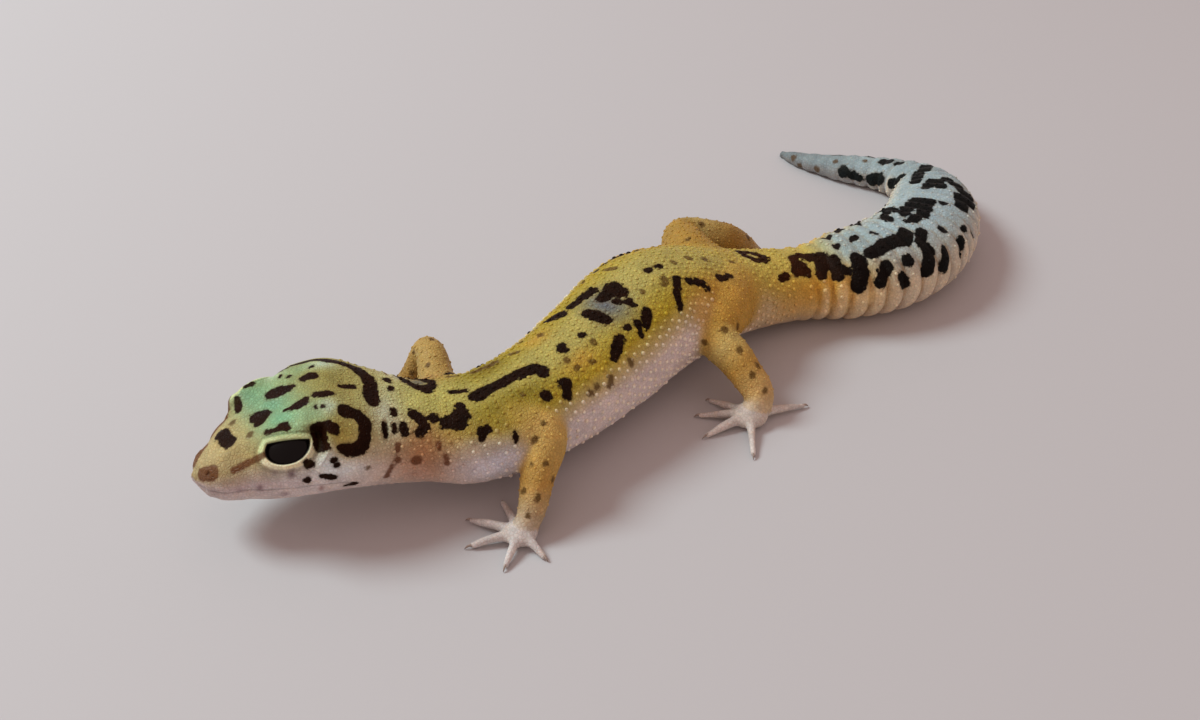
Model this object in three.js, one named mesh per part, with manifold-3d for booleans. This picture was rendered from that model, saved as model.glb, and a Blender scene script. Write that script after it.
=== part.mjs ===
// A leopard gecko, life size, in a slow walking stance with its tail curled to its right.
// Units are millimetres. +Z is up, the head looks towards -Y and +X is the animal's left.
// The origin lies on the floor, under the middle of the model's outline.

import * as THREE from "three";
import { mergeVertices } from "three/addons/utils/BufferGeometryUtils.js";
import Module from "manifold-3d";

const wasm = await Module();
wasm.setup();

// ---------------------------------------------------------------- driving dimensions

// The body from snout to tail tip: the spine's place on the floor plan, the half width,
// and the heights of the belly line and the back line, one row a station. The tail's belly
// line is a little under the floor, because its own weight presses it flat there.
const STATIONS = [
  //  x      y   half  belly  back
  [-5.0, -74.4, 0.8, 9.1, 10.9], // snout tip
  [-4.9, -73.7, 2.9, 7.7, 12.3],
  [-4.6, -72.3, 4.5, 6.7, 13.5], // nostrils
  [-4.1, -70.4, 5.9, 6.0, 14.6],
  [-3.7, -67.6, 7.5, 5.7, 16.3],
  [-3.1, -64.7, 9.1, 5.3, 17.6], // eyes
  [-2.4, -61.4, 10.7, 5.1, 19.1],
  [-1.6, -58.0, 11.8, 5.0, 20.3], // corner of the mouth
  [-0.4, -54.5, 12.1, 4.9, 21.0], // crown
  [2.3, -49.7, 11.0, 4.5, 19.4], // ears
  [7.0, -42.5, 9.5, 3.7, 17.2], // neck
  [11.0, -35.1, 10.5, 2.6, 16.6], // shoulders
  [12.0, -23.8, 10.4, 1.7, 17.2],
  [9.4, -9.0, 11.3, 0.8, 18.8],
  [6.1, 5.4, 12.0, 0.8, 20.6], // fullest part of the belly
  [5.9, 15.2, 10.9, 1.4, 18.8],
  [7.4, 23.8, 9.0, 1.1, 15.4], // hips
  [9.7, 31.5, 7.8, 0.6, 13.6], // vent
  [12.2, 37.6, 7.1, 0.2, 12.9], // narrow root of the tail
  [15.5, 45.3, 9.0, -0.3, 14.0],
  [17.9, 56.8, 9.9, -0.4, 14.1], // fattest part of the tail
  [15.5, 67.6, 9.6, -0.4, 13.2],
  [8.6, 78.3, 8.3, -0.4, 11.4],
  [0.6, 84.8, 6.0, -0.4, 8.7],
  [-7.4, 85.2, 4.3, -0.3, 6.8],
  [-17.6, 81.0, 3.2, -0.3, 5.1],
  [-25.0, 78.7, 2.15, -0.2, 3.4],
  [-32.2, 78.1, 0.6, -0.1, 1.3], // tail tip
];
const ORIGIN = [2.5, 8.2]; // middle of the outline, in the stations' plan
const SQUARENESS = 2.25; // power of the oval section: 2 is an ellipse
const GAP = 0.3; // clearance between touching pieces
const BODY_SIDES = 20;

// Distance between the rings of points: on the snout's tip, the head, the trunk and the tail's tip.
const RING_STEPS = [[2, 0.7], [30, 2.5], [116, 3.6], [Infinity, 3]];
const LAST_RING = 0.4; // a piece's last ring keeps at least this far from the one before it

// Swellings on the head: distance from the snout, angle above the side, height, and spread.
const BROW = { along: 10.7, angle: 40, lift: 2.1, spread: 2.6, turn: 20 };
const ORBIT = { along: 13.2, angle: 20, lift: 0.7, spread: 4.5, turn: 24 };
const TEMPLE = { along: 22.5, angle: 40, lift: 0.65, spread: 6.5, turn: 26 };

// Rings of the fat tail: one fold every few millimetres, fading in and out.
const WHORL = { from: 116, full: 122, fade: 170, to: 192, pitch: 4.0, depth: 0.36 };

// Eyeballs, their lids' opening, and the ear pits.
const EYE = { along: 12.9, angle: 27, radius: 3.5, sunk: 3.2 };
const LID_OPENING = { long: 3.8, high: 2.1, deep: 2.2 };
const EAR = { along: 30.2, angle: 34, wide: 0.9, high: 2.0, deep: 1.6 };

// The mouth's line, as heights along the head's axis, and the end of the jaw.
const MOUTH = { front: 9.7, middle: 10.6, corner: 10.8, middleAt: 10, cornerAt: 20.5, backAt: 23.5 };
const HEAD_TURN = -0.232; // the head's axis, turned from +Y towards +X, in radians

// Cuts across the body, by distance from the snout.
const SEGMENTS = [
  { name: "head", from: 0, to: 32 },
  { name: "neck", from: 32, to: 44 },
  { name: "shoulders", from: 44, to: 60 },
  { name: "trunk_front", from: 60, to: 77 },
  { name: "trunk_back", from: 77, to: 92 },
  { name: "pelvis", from: 92, to: 112 },
  { name: "tail_root", from: 112, to: 128 },
  { name: "tail_thick", from: 128, to: 146 },
  { name: "tail_bend", from: 146, to: 166 },
  { name: "tail_curl", from: 166, to: 184 },
  { name: "tail_end", from: 184, to: Infinity },
];

// Legs: centre line and radius from the joint with the trunk to the wrist or ankle.
const LEGS = {
  front_left: {
    line: [[12.5, -35.0, 9.5, 4.6], [17.0, -31.5, 11.2, 4.2], [21.0, -28.9, 10.9, 3.5],
      [24.4, -32.9, 6.8, 2.7], [27.4, -37.2, 2.7, 2.0]],
    palm: [27.6, -38.9, 1.3, 2.6],
    toes: [[18.9, -35.9], [18.9, -42.8], [24.0, -46.7], [31.7, -45.2], [34.3, -38.8]],
  },
  front_right: {
    line: [[8.4, -36.6, 9.5, 4.2], [0.8, -34.2, 11.0, 3.2], [-7.6, -30.8, 12.0, 2.4],
      [-8.6, -33.2, 7.4, 2.2], [-11.2, -37.8, 2.7, 1.8]],
    palm: [-12.6, -39.2, 1.3, 2.6],
    toes: [[-4.4, -36.6], [-4.4, -43.2], [-9.6, -47.0], [-17.2, -45.6], [-19.6, -39.2]],
  },
  hind_left: {
    line: [[9.5, 21.0, 9.5, 5.8], [13.5, 15.8, 10.8, 5.2], [16.7, 10.9, 10.4, 3.9],
      [23.8, 10.5, 7.3, 3.1], [29.2, 9.9, 3.0, 2.4]],
    palm: [29.4, 7.8, 1.4, 2.9],
    toes: [[20.5, 6.1], [22.6, 1.5], [27.8, -1.5], [37.0, 1.2], [32.9, 18.3]],
  },
  hind_right: {
    line: [[5.0, 22.0, 9.5, 5.6], [-3.3, 24.0, 10.4, 4.8], [-9.8, 28.5, 9.8, 3.5],
      [-6.3, 34.8, 8.0, 3.5], [-4.4, 41.8, 3.0, 2.1]],
    palm: [-3.4, 43.2, 1.4, 2.9],
    toes: [[3.0, 38.6], [-1.6, 34.6], [-8.4, 36.6], [-10.0, 41.6], [-1.8, 51.2]],
  },
};
const TOE = { root: 1.25, middle: 0.95, tip: 0.4, arch: 1.4, sides: 6, steps: 3 };
const FOOT = { heel: 0.62, low: 0.62, bend: 0.45 };
const LEG_SIDES = 10;
const KNEE = 2; // the knot of the leg's line that is its elbow or knee
const INSIDE_JOINT = 0.85; // share of the joint's radius at which the lower leg starts inside it
const ANKLE_INSET = 0.1; // the heel is this much thinner than the leg at the wrist or ankle

const [SATIN, GLOSSY] = [0.6, 0.1]; // roughness of the skin and of the eyes
const COLOURS = {
  skin: 0xc2a85e,
  crown: 0x93ad7c,
  lip: 0xb9a29b,
  tail: 0x9fa9a4,
  limb: 0xb98f4a,
  foot: 0xc0b2aa,
  eye: 0x14120f,
};

// ---------------------------------------------------------------- smooth tables

/** Slope at each knot from its neighbours; with `steady` no overshoot between knots. */
function knotSlopes(knots, values, steady) {
  const rise = knots.slice(1).map((k, i) => (values[i + 1] - values[i]) / (k - knots[i]));
  return values.map((_, i) => {
    if (i === 0) return rise[0];
    if (i === values.length - 1) return rise[i - 1];
    const before = knots[i] - knots[i - 1];
    const after = knots[i + 1] - knots[i];
    const slope = (rise[i - 1] * after + rise[i] * before) / (before + after);
    if (!steady) return slope;
    if (rise[i - 1] * rise[i] <= 0) return 0;
    const limit = 3 * Math.min(Math.abs(rise[i - 1]), Math.abs(rise[i]));
    return THREE.MathUtils.clamp(slope, -limit, limit);
  });
}

/** A cubic through all the knots, as a function that gives [value, slope]. */
function smoothLine(knots, values, steady = false) {
  const slopes = knotSlopes(knots, values, steady);
  return (at) => {
    let i = 0;
    while (i < knots.length - 2 && at >= knots[i + 1]) i += 1;
    const span = knots[i + 1] - knots[i];
    const t = (at - knots[i]) / span;
    const value = (2 * t ** 3 - 3 * t ** 2 + 1) * values[i] + (t ** 3 - 2 * t ** 2 + t) * span * slopes[i]
      + (3 * t ** 2 - 2 * t ** 3) * values[i + 1] + (t ** 3 - t ** 2) * span * slopes[i + 1];
    const slope = (6 * t ** 2 - 6 * t) * (values[i] - values[i + 1]) / span
      + (3 * t ** 2 - 4 * t + 1) * slopes[i] + (3 * t ** 2 - 2 * t) * slopes[i + 1];
    return [value, slope];
  };
}

const column = (rows, i) => rows.map((row) => row[i]);
const distances = (rows, size) => rows.reduce((total, row, i) => {
  const step = i === 0 ? 0 : Math.hypot(...row.slice(0, size).map((v, k) => v - rows[i - 1][k]));
  return [...total, (total[i - 1] ?? 0) + step];
}, []);

// ---------------------------------------------------------------- the body's form

const bodyKnots = distances(STATIONS, 2);
const BODY_LENGTH = bodyKnots.at(-1);
const [spineX, spineY] = [0, 1].map((i) => smoothLine(bodyKnots, column(STATIONS, i)));
const [halfWidth, bellyLine, backLine] = [2, 3, 4].map((i) => (
  smoothLine(bodyKnots, column(STATIONS, i), true)));

/** Centre of the section at a distance from the snout, and the unit vector to the animal's left. */
function section(along) {
  const [x, dx] = spineX(along);
  const [y, dy] = spineY(along);
  const size = Math.hypot(dx, dy);
  const low = bellyLine(along)[0];
  const high = backLine(along)[0];
  return {
    centre: new THREE.Vector3(x - ORIGIN[0], y - ORIGIN[1], (low + high) / 2),
    left: new THREE.Vector3(dy / size, -dx / size, 0),
    half: halfWidth(along)[0],
    rise: (high - low) / 2,
  };
}

/** A rounded swelling on both sides of the head. */
function swelling({ along, angle, lift, spread, turn }, at, degrees) {
  return [angle, 180 - angle].reduce((sum, middle) => {
    const off = THREE.MathUtils.euclideanModulo(degrees - middle + 180, 360) - 180;
    return sum + lift * Math.exp(-(((at - along) / spread) ** 2) - (off / turn) ** 2);
  }, 0);
}

/** Height of the tail's rings at a distance from the snout. */
function whorl(at) {
  const fadeIn = THREE.MathUtils.smoothstep(at, WHORL.from, WHORL.full);
  const fadeOut = 1 - THREE.MathUtils.smoothstep(at, WHORL.fade, WHORL.to);
  return WHORL.depth * fadeIn * fadeOut * Math.cos((2 * Math.PI * at) / WHORL.pitch);
}

/** Point of the body's surface, by distance from the snout and angle from the left side upwards. */
function bodyPoint(along, angle, grow = 0) {
  const { centre, left, half, rise } = section(along);
  const across = Math.cos(angle);
  const up = Math.sin(angle);
  const parts = Math.abs(across / half) ** SQUARENESS + Math.abs(up / rise) ** SQUARENESS;
  const oval = parts ** (-1 / SQUARENESS);
  const degrees = THREE.MathUtils.radToDeg(angle);
  const forms = [BROW, ORBIT, TEMPLE].map((form) => swelling(form, along, degrees));
  const reach = forms.reduce((sum, height) => sum + height, oval + grow + whorl(along));
  const point = centre.clone().addScaledVector(left, reach * across);
  point.z = Math.max(point.z + reach * up, -grow);
  return point;
}

// ---------------------------------------------------------------- solids

/** Closed solid through rings of points, each ring going round the same way, with flat ends. */
function loft(rings) {
  const sides = rings[0].length;
  const points = rings.flat();
  const faces = [];
  for (let r = 0; r < rings.length - 1; r += 1) {
    for (let i = 0; i < sides; i += 1) {
      const [a, b] = [r * sides + i, r * sides + ((i + 1) % sides)];
      const [c, d] = [a + sides, b + sides];
      faces.push(a, b, d, a, d, c);
    }
  }
  [0, rings.length - 1].forEach((r) => {
    const middle = rings[r].reduce((sum, p) => sum.add(p), new THREE.Vector3()).divideScalar(sides);
    const hub = points.push(middle) - 1;
    for (let i = 0; i < sides; i += 1) {
      const [a, b] = [r * sides + i, r * sides + ((i + 1) % sides)];
      faces.push(...(r === 0 ? [hub, b, a] : [hub, a, b]));
    }
  });
  const geometry = new THREE.BufferGeometry();
  const positions = points.flatMap((point) => point.toArray());
  geometry.setAttribute("position", new THREE.Float32BufferAttribute(positions, 3));
  geometry.setIndex(faces);
  return solidOf(geometry);
}

/** Manifold solid of a closed geometry, turned right way out if need be. */
function solidOf(geometry) {
  const bare = geometry.clone();
  ["normal", "uv"].forEach((name) => bare.deleteAttribute(name));
  const merged = mergeVertices(bare, 1e-5);
  const positions = merged.attributes.position.array;
  const index = Array.from(merged.index.array);
  const flip = signedVolume(positions, index) < 0;
  const triVerts = new Uint32Array(flip ? index.reverse() : index);
  const vertProperties = new Float32Array(positions);
  return new wasm.Manifold(new wasm.Mesh({ numProp: 3, vertProperties, triVerts }));
}

/** Signed volume of a triangle mesh: negative when its faces point inwards. */
function signedVolume(positions, index) {
  const corner = (i) => new THREE.Vector3().fromArray(positions, index[i] * 3);
  let sum = 0;
  for (let i = 0; i < index.length; i += 3) {
    sum += corner(i).dot(corner(i + 1).cross(corner(i + 2))) / 6;
  }
  return sum;
}

/** three.js geometry of a manifold solid. */
function geometryOf(solid) {
  const mesh = solid.getMesh();
  const geometry = new THREE.BufferGeometry();
  geometry.setAttribute("position", new THREE.BufferAttribute(Float32Array.from(mesh.vertProperties), 3));
  geometry.setIndex(Array.from(mesh.triVerts));
  geometry.computeVertexNormals();
  return geometry;
}

/** The next place after `at` that gets a ring of points: on the tail, each crest and each fold. */
function nextRing(at) {
  const half = WHORL.pitch / 2;
  if (at >= WHORL.from && at < WHORL.to) return (Math.floor(at / half + 1e-6) + 1) * half;
  return at + RING_STEPS.find(([until]) => at < until)[1];
}

/** Distances from the snout at which a stretch of the body gets a ring of points. */
function ringPlaces(from, to) {
  const places = [from];
  for (let at = nextRing(from); at < to - LAST_RING; at = nextRing(at)) places.push(at);
  return [...places, to];
}

/** Solid of one stretch of the body, swollen by `grow` on every side but its ends. */
function bodySolid(from, to, grow = 0) {
  const rings = ringPlaces(from, to).map((at) => Array.from({ length: BODY_SIDES }, (_, i) => (
    bodyPoint(at, (2 * Math.PI * i) / BODY_SIDES, grow))));
  return loft(rings);
}

/** Tube of changing radius along a smooth line through [x, y, z, radius] rows, swollen by `grow`. */
function limbSolid(rows, { sides, steps, grow = 0 }) {
  const knots = distances(rows, 3);
  const [lineX, lineY, lineZ] = [0, 1, 2].map((i) => smoothLine(knots, column(rows, i)));
  const thickness = smoothLine(knots, column(rows, 3), true);
  const rings = Array.from({ length: steps + 1 }, (_, i) => {
    const at = (knots.at(-1) * i) / steps;
    const [x, y, z] = [lineX(at), lineY(at), lineZ(at)];
    const along = new THREE.Vector3(x[1], y[1], z[1]).normalize();
    const across = new THREE.Vector3().crossVectors(along, new THREE.Vector3(0, 0, 1)).normalize();
    const up = new THREE.Vector3().crossVectors(across, along);
    const radius = thickness(at)[0] + grow;
    return Array.from({ length: sides }, (_, k) => {
      const angle = (2 * Math.PI * k) / sides;
      const point = new THREE.Vector3(x[0] - ORIGIN[0], y[0] - ORIGIN[1], z[0])
        .addScaledVector(across, radius * Math.cos(angle))
        .addScaledVector(up, radius * Math.sin(angle));
      point.z = Math.max(point.z, -grow);
      return point;
    });
  });
  return loft(rings);
}

/** Ball at an [x, y, z, radius] row, flattened by `low` and swollen by `grow`. */
function ballSolid([x, y, z, radius], { grow = 0, low = 1 } = {}) {
  const ball = new THREE.SphereGeometry(radius + grow, LEG_SIDES, LEG_SIDES / 2 + 1);
  ball.scale(1, 1, low);
  ball.translate(x - ORIGIN[0], y - ORIGIN[1], z);
  return solidOf(ball);
}

/** Upper arm or thigh, out to the ball of its elbow or knee. */
function upperSolid({ line }, grow = 0) {
  const rows = line.slice(0, KNEE + 1);
  return limbSolid(rows, { sides: LEG_SIDES, steps: 4, grow }).add(ballSolid(rows.at(-1), { grow }));
}

/** Rows of a forearm or shank, drawn in where it starts inside the ball of the joint above. */
function lowerRows({ line }) {
  const [first, ...rest] = line.slice(KNEE);
  return [[...first.slice(0, 3), first[3] * INSIDE_JOINT], ...rest];
}

/** Foot: the heel and palm pad with the toes and their claws, swollen by `grow`. */
function footSolid({ line, palm, toes }, grow = 0) {
  const [x, y, z, radius] = palm;
  const heel = [line.at(-1), [x, y, z, radius * FOOT.heel]];
  const whole = limbSolid(heel, { sides: LEG_SIDES, steps: 2, grow: grow - ANKLE_INSET })
    .add(ballSolid(palm, { grow, low: FOOT.low }));
  return toes.reduce((sum, [tipX, tipY]) => {
    const bendX = THREE.MathUtils.lerp(x, tipX, FOOT.bend);
    const bendY = THREE.MathUtils.lerp(y, tipY, FOOT.bend);
    const knuckle = [bendX, bendY, TOE.arch, TOE.middle];
    const rows = [[x, y, z, TOE.root], knuckle, [tipX, tipY, TOE.tip, TOE.tip]];
    return sum.add(limbSolid(rows, { sides: TOE.sides, steps: TOE.steps, grow }));
  }, whole);
}

/** Box between limits on each axis. */
function boxSolid([x0, x1], [y0, y1], [z0, z1]) {
  const box = new THREE.BoxGeometry(x1 - x0, y1 - y0, z1 - z0);
  box.translate((x0 + x1) / 2, (y0 + y1) / 2, (z0 + z1) / 2);
  return solidOf(box);
}

/** Ellipsoid lying in the skin at a place on the head: long along the head, high up it, deep into it. */
function skinEllipsoid(along, side, angle, [long, high, deep], sunk, faces = 11) {
  const turn = THREE.MathUtils.degToRad(side > 0 ? angle : 180 - angle);
  const { left } = section(along);
  const outward = left.clone().multiplyScalar(Math.cos(turn));
  outward.z = Math.sin(turn);
  const forward = new THREE.Vector3().crossVectors(left, new THREE.Vector3(0, 0, 1)).normalize();
  const upward = new THREE.Vector3().crossVectors(outward, forward).normalize();
  const ball = new THREE.SphereGeometry(1, faces, Math.round(faces * 0.6));
  ball.scale(long, high, deep);
  const frame = new THREE.Matrix4().makeBasis(forward, upward, outward);
  const centre = bodyPoint(along, turn).addScaledVector(outward, -sunk);
  ball.applyMatrix4(frame.setPosition(centre));
  return solidOf(ball);
}

/** Block that holds the lower jaw: all that lies under the mouth's line, up to the jaw's end. */
function jawBlock(grow) {
  const profile = new THREE.Shape([
    new THREE.Vector2(-4, 0),
    new THREE.Vector2(-4, MOUTH.front + grow),
    new THREE.Vector2(0, MOUTH.front + grow),
    new THREE.Vector2(MOUTH.middleAt, MOUTH.middle + grow),
    new THREE.Vector2(MOUTH.cornerAt + grow, MOUTH.corner + grow),
    new THREE.Vector2(MOUTH.backAt + grow, 0),
  ]);
  const reach = 30;
  const block = new THREE.ExtrudeGeometry(profile, { depth: reach, bevelEnabled: false });
  block.translate(0, 0, -reach / 2);
  const axis = new THREE.Vector3(-Math.sin(HEAD_TURN), Math.cos(HEAD_TURN), 0);
  const across = new THREE.Vector3().crossVectors(axis, new THREE.Vector3(0, 0, 1));
  const frame = new THREE.Matrix4().makeBasis(axis, new THREE.Vector3(0, 0, 1), across);
  const [x, y] = STATIONS[0];
  block.applyMatrix4(frame.setPosition(x - ORIGIN[0], y - ORIGIN[1], 0));
  return solidOf(block);
}

// ---------------------------------------------------------------- assembly

const gecko = new THREE.Group();

/** Add one named piece in its own material. */
function addPiece(name, solid, colour, roughness = SATIN) {
  const material = new THREE.MeshStandardMaterial({ color: colour, roughness, metalness: 0 });
  const mesh = new THREE.Mesh(geometryOf(solid), material);
  mesh.name = name;
  gecko.add(mesh);
}

const SIDES = { left: 1, right: -1 };
const eyeSizes = (extra) => Array(3).fill(EYE.radius + extra);
const bodyColour = (name) => {
  if (name === "head") return COLOURS.crown;
  return name.startsWith("tail") && name !== "tail_root" ? COLOURS.tail : COLOURS.skin;
};

SEGMENTS.forEach(({ name, from, to }) => {
  const end = Math.min(to, BODY_LENGTH);
  let solid = bodySolid(from, end === BODY_LENGTH ? end : end - GAP);
  if (name === "head") {
    Object.values(SIDES).forEach((side) => {
      const { long, high, deep } = LID_OPENING;
      solid = solid
        .subtract(skinEllipsoid(EYE.along, side, EYE.angle, eyeSizes(GAP), EYE.sunk))
        .subtract(skinEllipsoid(EYE.along, side, EYE.angle, [long, high, deep], 0))
        .subtract(skinEllipsoid(EAR.along, side, EAR.angle, [EAR.wide, EAR.high, EAR.deep], 0, 8));
    });
    addPiece("lower_jaw", solid.intersect(jawBlock(0)), COLOURS.lip);
    solid = solid.subtract(jawBlock(GAP));
  }
  addPiece(name, solid, bodyColour(name));
});

Object.entries(SIDES).forEach(([name, side]) => {
  const ball = skinEllipsoid(EYE.along, side, EYE.angle, eyeSizes(0), EYE.sunk);
  addPiece(`${name}_eye`, ball, COLOURS.eye, GLOSSY);
});

const trunkRoom = bodySolid(20, 135, GAP);
const underFloor = boxSolid([-100, 100], [-100, 100], [-10, 0]);
Object.entries(LEGS).forEach(([name, leg]) => {
  const lower = limbSolid(lowerRows(leg), { sides: LEG_SIDES, steps: 4 });
  const upper = upperSolid(leg).subtract(trunkRoom);
  const shank = lower.subtract(trunkRoom).subtract(upperSolid(leg, GAP)).subtract(footSolid(leg, GAP));
  addPiece(`${name}_upper_leg`, upper, COLOURS.limb);
  addPiece(`${name}_lower_leg`, shank.subtract(underFloor), COLOURS.limb);
  addPiece(`${name}_foot`, footSolid(leg).subtract(underFloor), COLOURS.foot);
});

export default gecko;
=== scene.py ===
"""The looks of a life-size leopard gecko model: one soft skin, its tubercles, eyes and claws.

Lengths are in millimetres until a mesh is made. +Z is up, the head looks towards -Y and +X is
the animal's left. A place on the body is a distance from the snout along the spine and an angle
round it, in degrees from the left side upwards: 0 is left, 90 the back, 180 right, -90 the belly.
"""

import logging
import math
from dataclasses import dataclass, field
from enum import Enum

import bmesh
import bpy
import numpy as np
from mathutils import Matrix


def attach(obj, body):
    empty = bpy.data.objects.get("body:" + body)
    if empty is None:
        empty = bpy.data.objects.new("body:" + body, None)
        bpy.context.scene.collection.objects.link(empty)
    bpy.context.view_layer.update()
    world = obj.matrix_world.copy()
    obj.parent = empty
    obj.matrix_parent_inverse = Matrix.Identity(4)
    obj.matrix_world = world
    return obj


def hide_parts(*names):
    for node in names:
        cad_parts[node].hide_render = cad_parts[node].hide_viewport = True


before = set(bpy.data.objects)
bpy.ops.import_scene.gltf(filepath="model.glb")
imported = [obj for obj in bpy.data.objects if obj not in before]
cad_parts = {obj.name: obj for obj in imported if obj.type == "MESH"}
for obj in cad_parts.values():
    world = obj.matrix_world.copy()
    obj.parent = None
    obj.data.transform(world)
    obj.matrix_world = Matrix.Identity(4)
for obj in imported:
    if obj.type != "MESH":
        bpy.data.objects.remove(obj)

import openvdb
from mathutils import Matrix, Vector

log = logging.getLogger("gecko")

MM = 0.001
Rows = tuple[tuple[float, ...], ...]
Colour = tuple[float, float, float]

# The body from snout to tail tip: place of the spine on the floor, half width, belly, back.
STATIONS: Rows = (
    (-5.0, -74.4, 0.8, 9.1, 10.9),  # snout tip
    (-4.9, -73.7, 2.9, 7.7, 12.3),
    (-4.6, -72.3, 4.5, 6.7, 13.5),  # nostrils
    (-4.1, -70.4, 5.9, 6.0, 14.6),
    (-3.7, -67.6, 7.5, 5.7, 16.3),
    (-3.1, -64.7, 9.1, 5.3, 17.6),  # eyes
    (-2.4, -61.4, 10.7, 5.1, 19.1),
    (-1.6, -58.0, 11.8, 5.0, 20.3),  # corner of the mouth
    (-0.4, -54.5, 12.1, 4.9, 21.0),  # crown
    (2.3, -49.7, 11.0, 4.5, 19.4),  # ears
    (7.0, -42.5, 9.5, 3.7, 17.2),  # neck
    (11.0, -35.1, 10.5, 2.6, 16.6),  # shoulders
    (12.0, -23.8, 10.4, 1.7, 17.2),
    (9.4, -9.0, 11.3, 0.8, 18.8),
    (6.1, 5.4, 12.0, 0.8, 20.6),  # fullest part of the belly
    (5.9, 15.2, 10.9, 1.4, 18.8),
    (7.4, 23.8, 9.0, 1.1, 15.4),  # hips
    (9.7, 31.5, 7.8, 0.6, 13.6),  # vent
    (12.2, 37.6, 7.1, 0.2, 12.9),  # narrow root of the tail
    (15.5, 45.3, 9.0, -0.3, 14.0),
    (17.9, 56.8, 9.9, -0.4, 14.1),  # fattest part of the tail
    (15.5, 67.6, 9.6, -0.4, 13.2),
    (8.6, 78.3, 8.3, -0.4, 11.4),
    (0.6, 84.8, 6.0, -0.4, 8.7),
    (-7.4, 85.2, 4.3, -0.3, 6.8),
    (-17.6, 81.0, 3.2, -0.3, 5.1),
    (-25.0, 78.7, 2.15, -0.2, 3.4),
    (-32.2, 78.1, 0.6, -0.1, 1.3),  # tail tip
)
ORIGIN = (2.5, 8.2)  # middle of the outline, in the stations' plan
SQUARENESS = 2.25
COAT_DEPTH = 0.3  # the body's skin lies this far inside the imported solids
LEG_DEPTH = 0.12
FAR = 9.0  # stands for a distance too far to matter
FLESH_NODES = (
    "head", "lower_jaw", "neck", "shoulders", "trunk_front", "trunk_back", "pelvis",
    "tail_root", "tail_thick", "tail_bend", "tail_curl", "tail_end",
)


# ---------------------------------------------------------------- small tools


def screen(red: float, green: float, blue: float) -> Colour:
    """Turn a screen colour into linear light.

    Args:
        red: Red from 0 to 255.
        green: Green from 0 to 255.
        blue: Blue from 0 to 255.

    Returns:
        The same colour as linear values from 0 to 1.
    """
    return tuple(float(value) for value in to_linear(np.array((red, green, blue))))


def to_linear(colours: np.ndarray) -> np.ndarray:
    """Turn screen colours from 0 to 255 into linear light."""
    shares = colours / 255
    return np.where(shares <= 0.04045, shares / 12.92, ((shares + 0.055) / 1.055) ** 2.4)


def ease(values: np.ndarray, low: float, high: float) -> np.ndarray:
    """Rise smoothly from 0 at `low` to 1 at `high`; a `high` under `low` makes it fall.

    Args:
        values: Any array.
        low: Where the result is 0.
        high: Where the result is 1.

    Returns:
        Values from 0 to 1.
    """
    share = np.clip((values - low) / (high - low), 0.0, 1.0)
    return share * share * (3 - 2 * share)


def turn_between(degrees: np.ndarray, middle: float) -> np.ndarray:
    """Signed angle from `middle` to each angle, from -180 to 180 degrees."""
    return (degrees - middle + 180) % 360 - 180


def blend_near(first: np.ndarray, second: np.ndarray, reach: float) -> np.ndarray:
    """Join two distance fields with a soft fillet.

    Args:
        first: Distances to one form.
        second: Distances to another form.
        reach: How near the two have to be for the fillet to start.

    Returns:
        Distances to the joined form.
    """
    share = np.clip(0.5 + 0.5 * (second - first) / reach, 0.0, 1.0)
    return second * (1 - share) + first * share - reach * share * (1 - share)


def cross_axes(heading: np.ndarray) -> tuple[np.ndarray, np.ndarray]:
    """Unit vectors across a heading: a level one, and one that points upward."""
    across = np.cross(heading, (0.0, 0.0, 1.0))
    across /= np.linalg.norm(across)
    return across, np.cross(across, heading)


def to_scene(name: str, data: bpy.types.ID) -> bpy.types.Object:
    """Put a mesh, lamp or camera in the scene."""
    item = bpy.data.objects.new(name, data)
    bpy.context.scene.collection.objects.link(item)
    return item


@dataclass
class SmoothTable:
    """A cubic line through values at knots; a steady one never overshoots between knots."""

    knots: np.ndarray
    values: np.ndarray
    steady: bool = False
    slopes: np.ndarray = field(init=False)

    def __post_init__(self) -> None:
        """Work out the slope at each knot from its neighbours."""
        gaps = np.diff(self.knots)
        rise = np.diff(self.values) / gaps
        inner = (rise[:-1] * gaps[1:] + rise[1:] * gaps[:-1]) / (gaps[1:] + gaps[:-1])
        if self.steady:
            limit = 3 * np.minimum(np.abs(rise[:-1]), np.abs(rise[1:]))
            inner = np.where(rise[:-1] * rise[1:] <= 0, 0.0, np.clip(inner, -limit, limit))
        self.slopes = np.concatenate([rise[:1], inner, rise[-1:]])

    def at(self, places: np.ndarray) -> np.ndarray:
        """Value at each place."""
        index, span, t = self._spans(places)
        start, end = self.values[index], self.values[index + 1]
        lift = (t**3 - 2 * t**2 + t) * self.slopes[index] + (t**3 - t**2) * self.slopes[index + 1]
        return (2 * t**3 - 3 * t**2 + 1) * start + (3 * t**2 - 2 * t**3) * end + span * lift

    def slope(self, places: np.ndarray) -> np.ndarray:
        """Slope at each place."""
        index, span, t = self._spans(places)
        start, end = self.values[index], self.values[index + 1]
        lean = (3 * t**2 - 4 * t + 1) * self.slopes[index] + (3 * t**2 - 2 * t) * self.slopes[index + 1]
        return (6 * t**2 - 6 * t) * (start - end) / span + lean

    def _spans(self, places: np.ndarray) -> tuple[np.ndarray, np.ndarray, np.ndarray]:
        """Index of the span that holds each place, its length, and the share of it passed."""
        index = np.clip(np.searchsorted(self.knots, places, side="right") - 1, 0, len(self.knots) - 2)
        span = self.knots[index + 1] - self.knots[index]
        return index, span, (places - self.knots[index]) / span


# ---------------------------------------------------------------- the body's form


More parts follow.
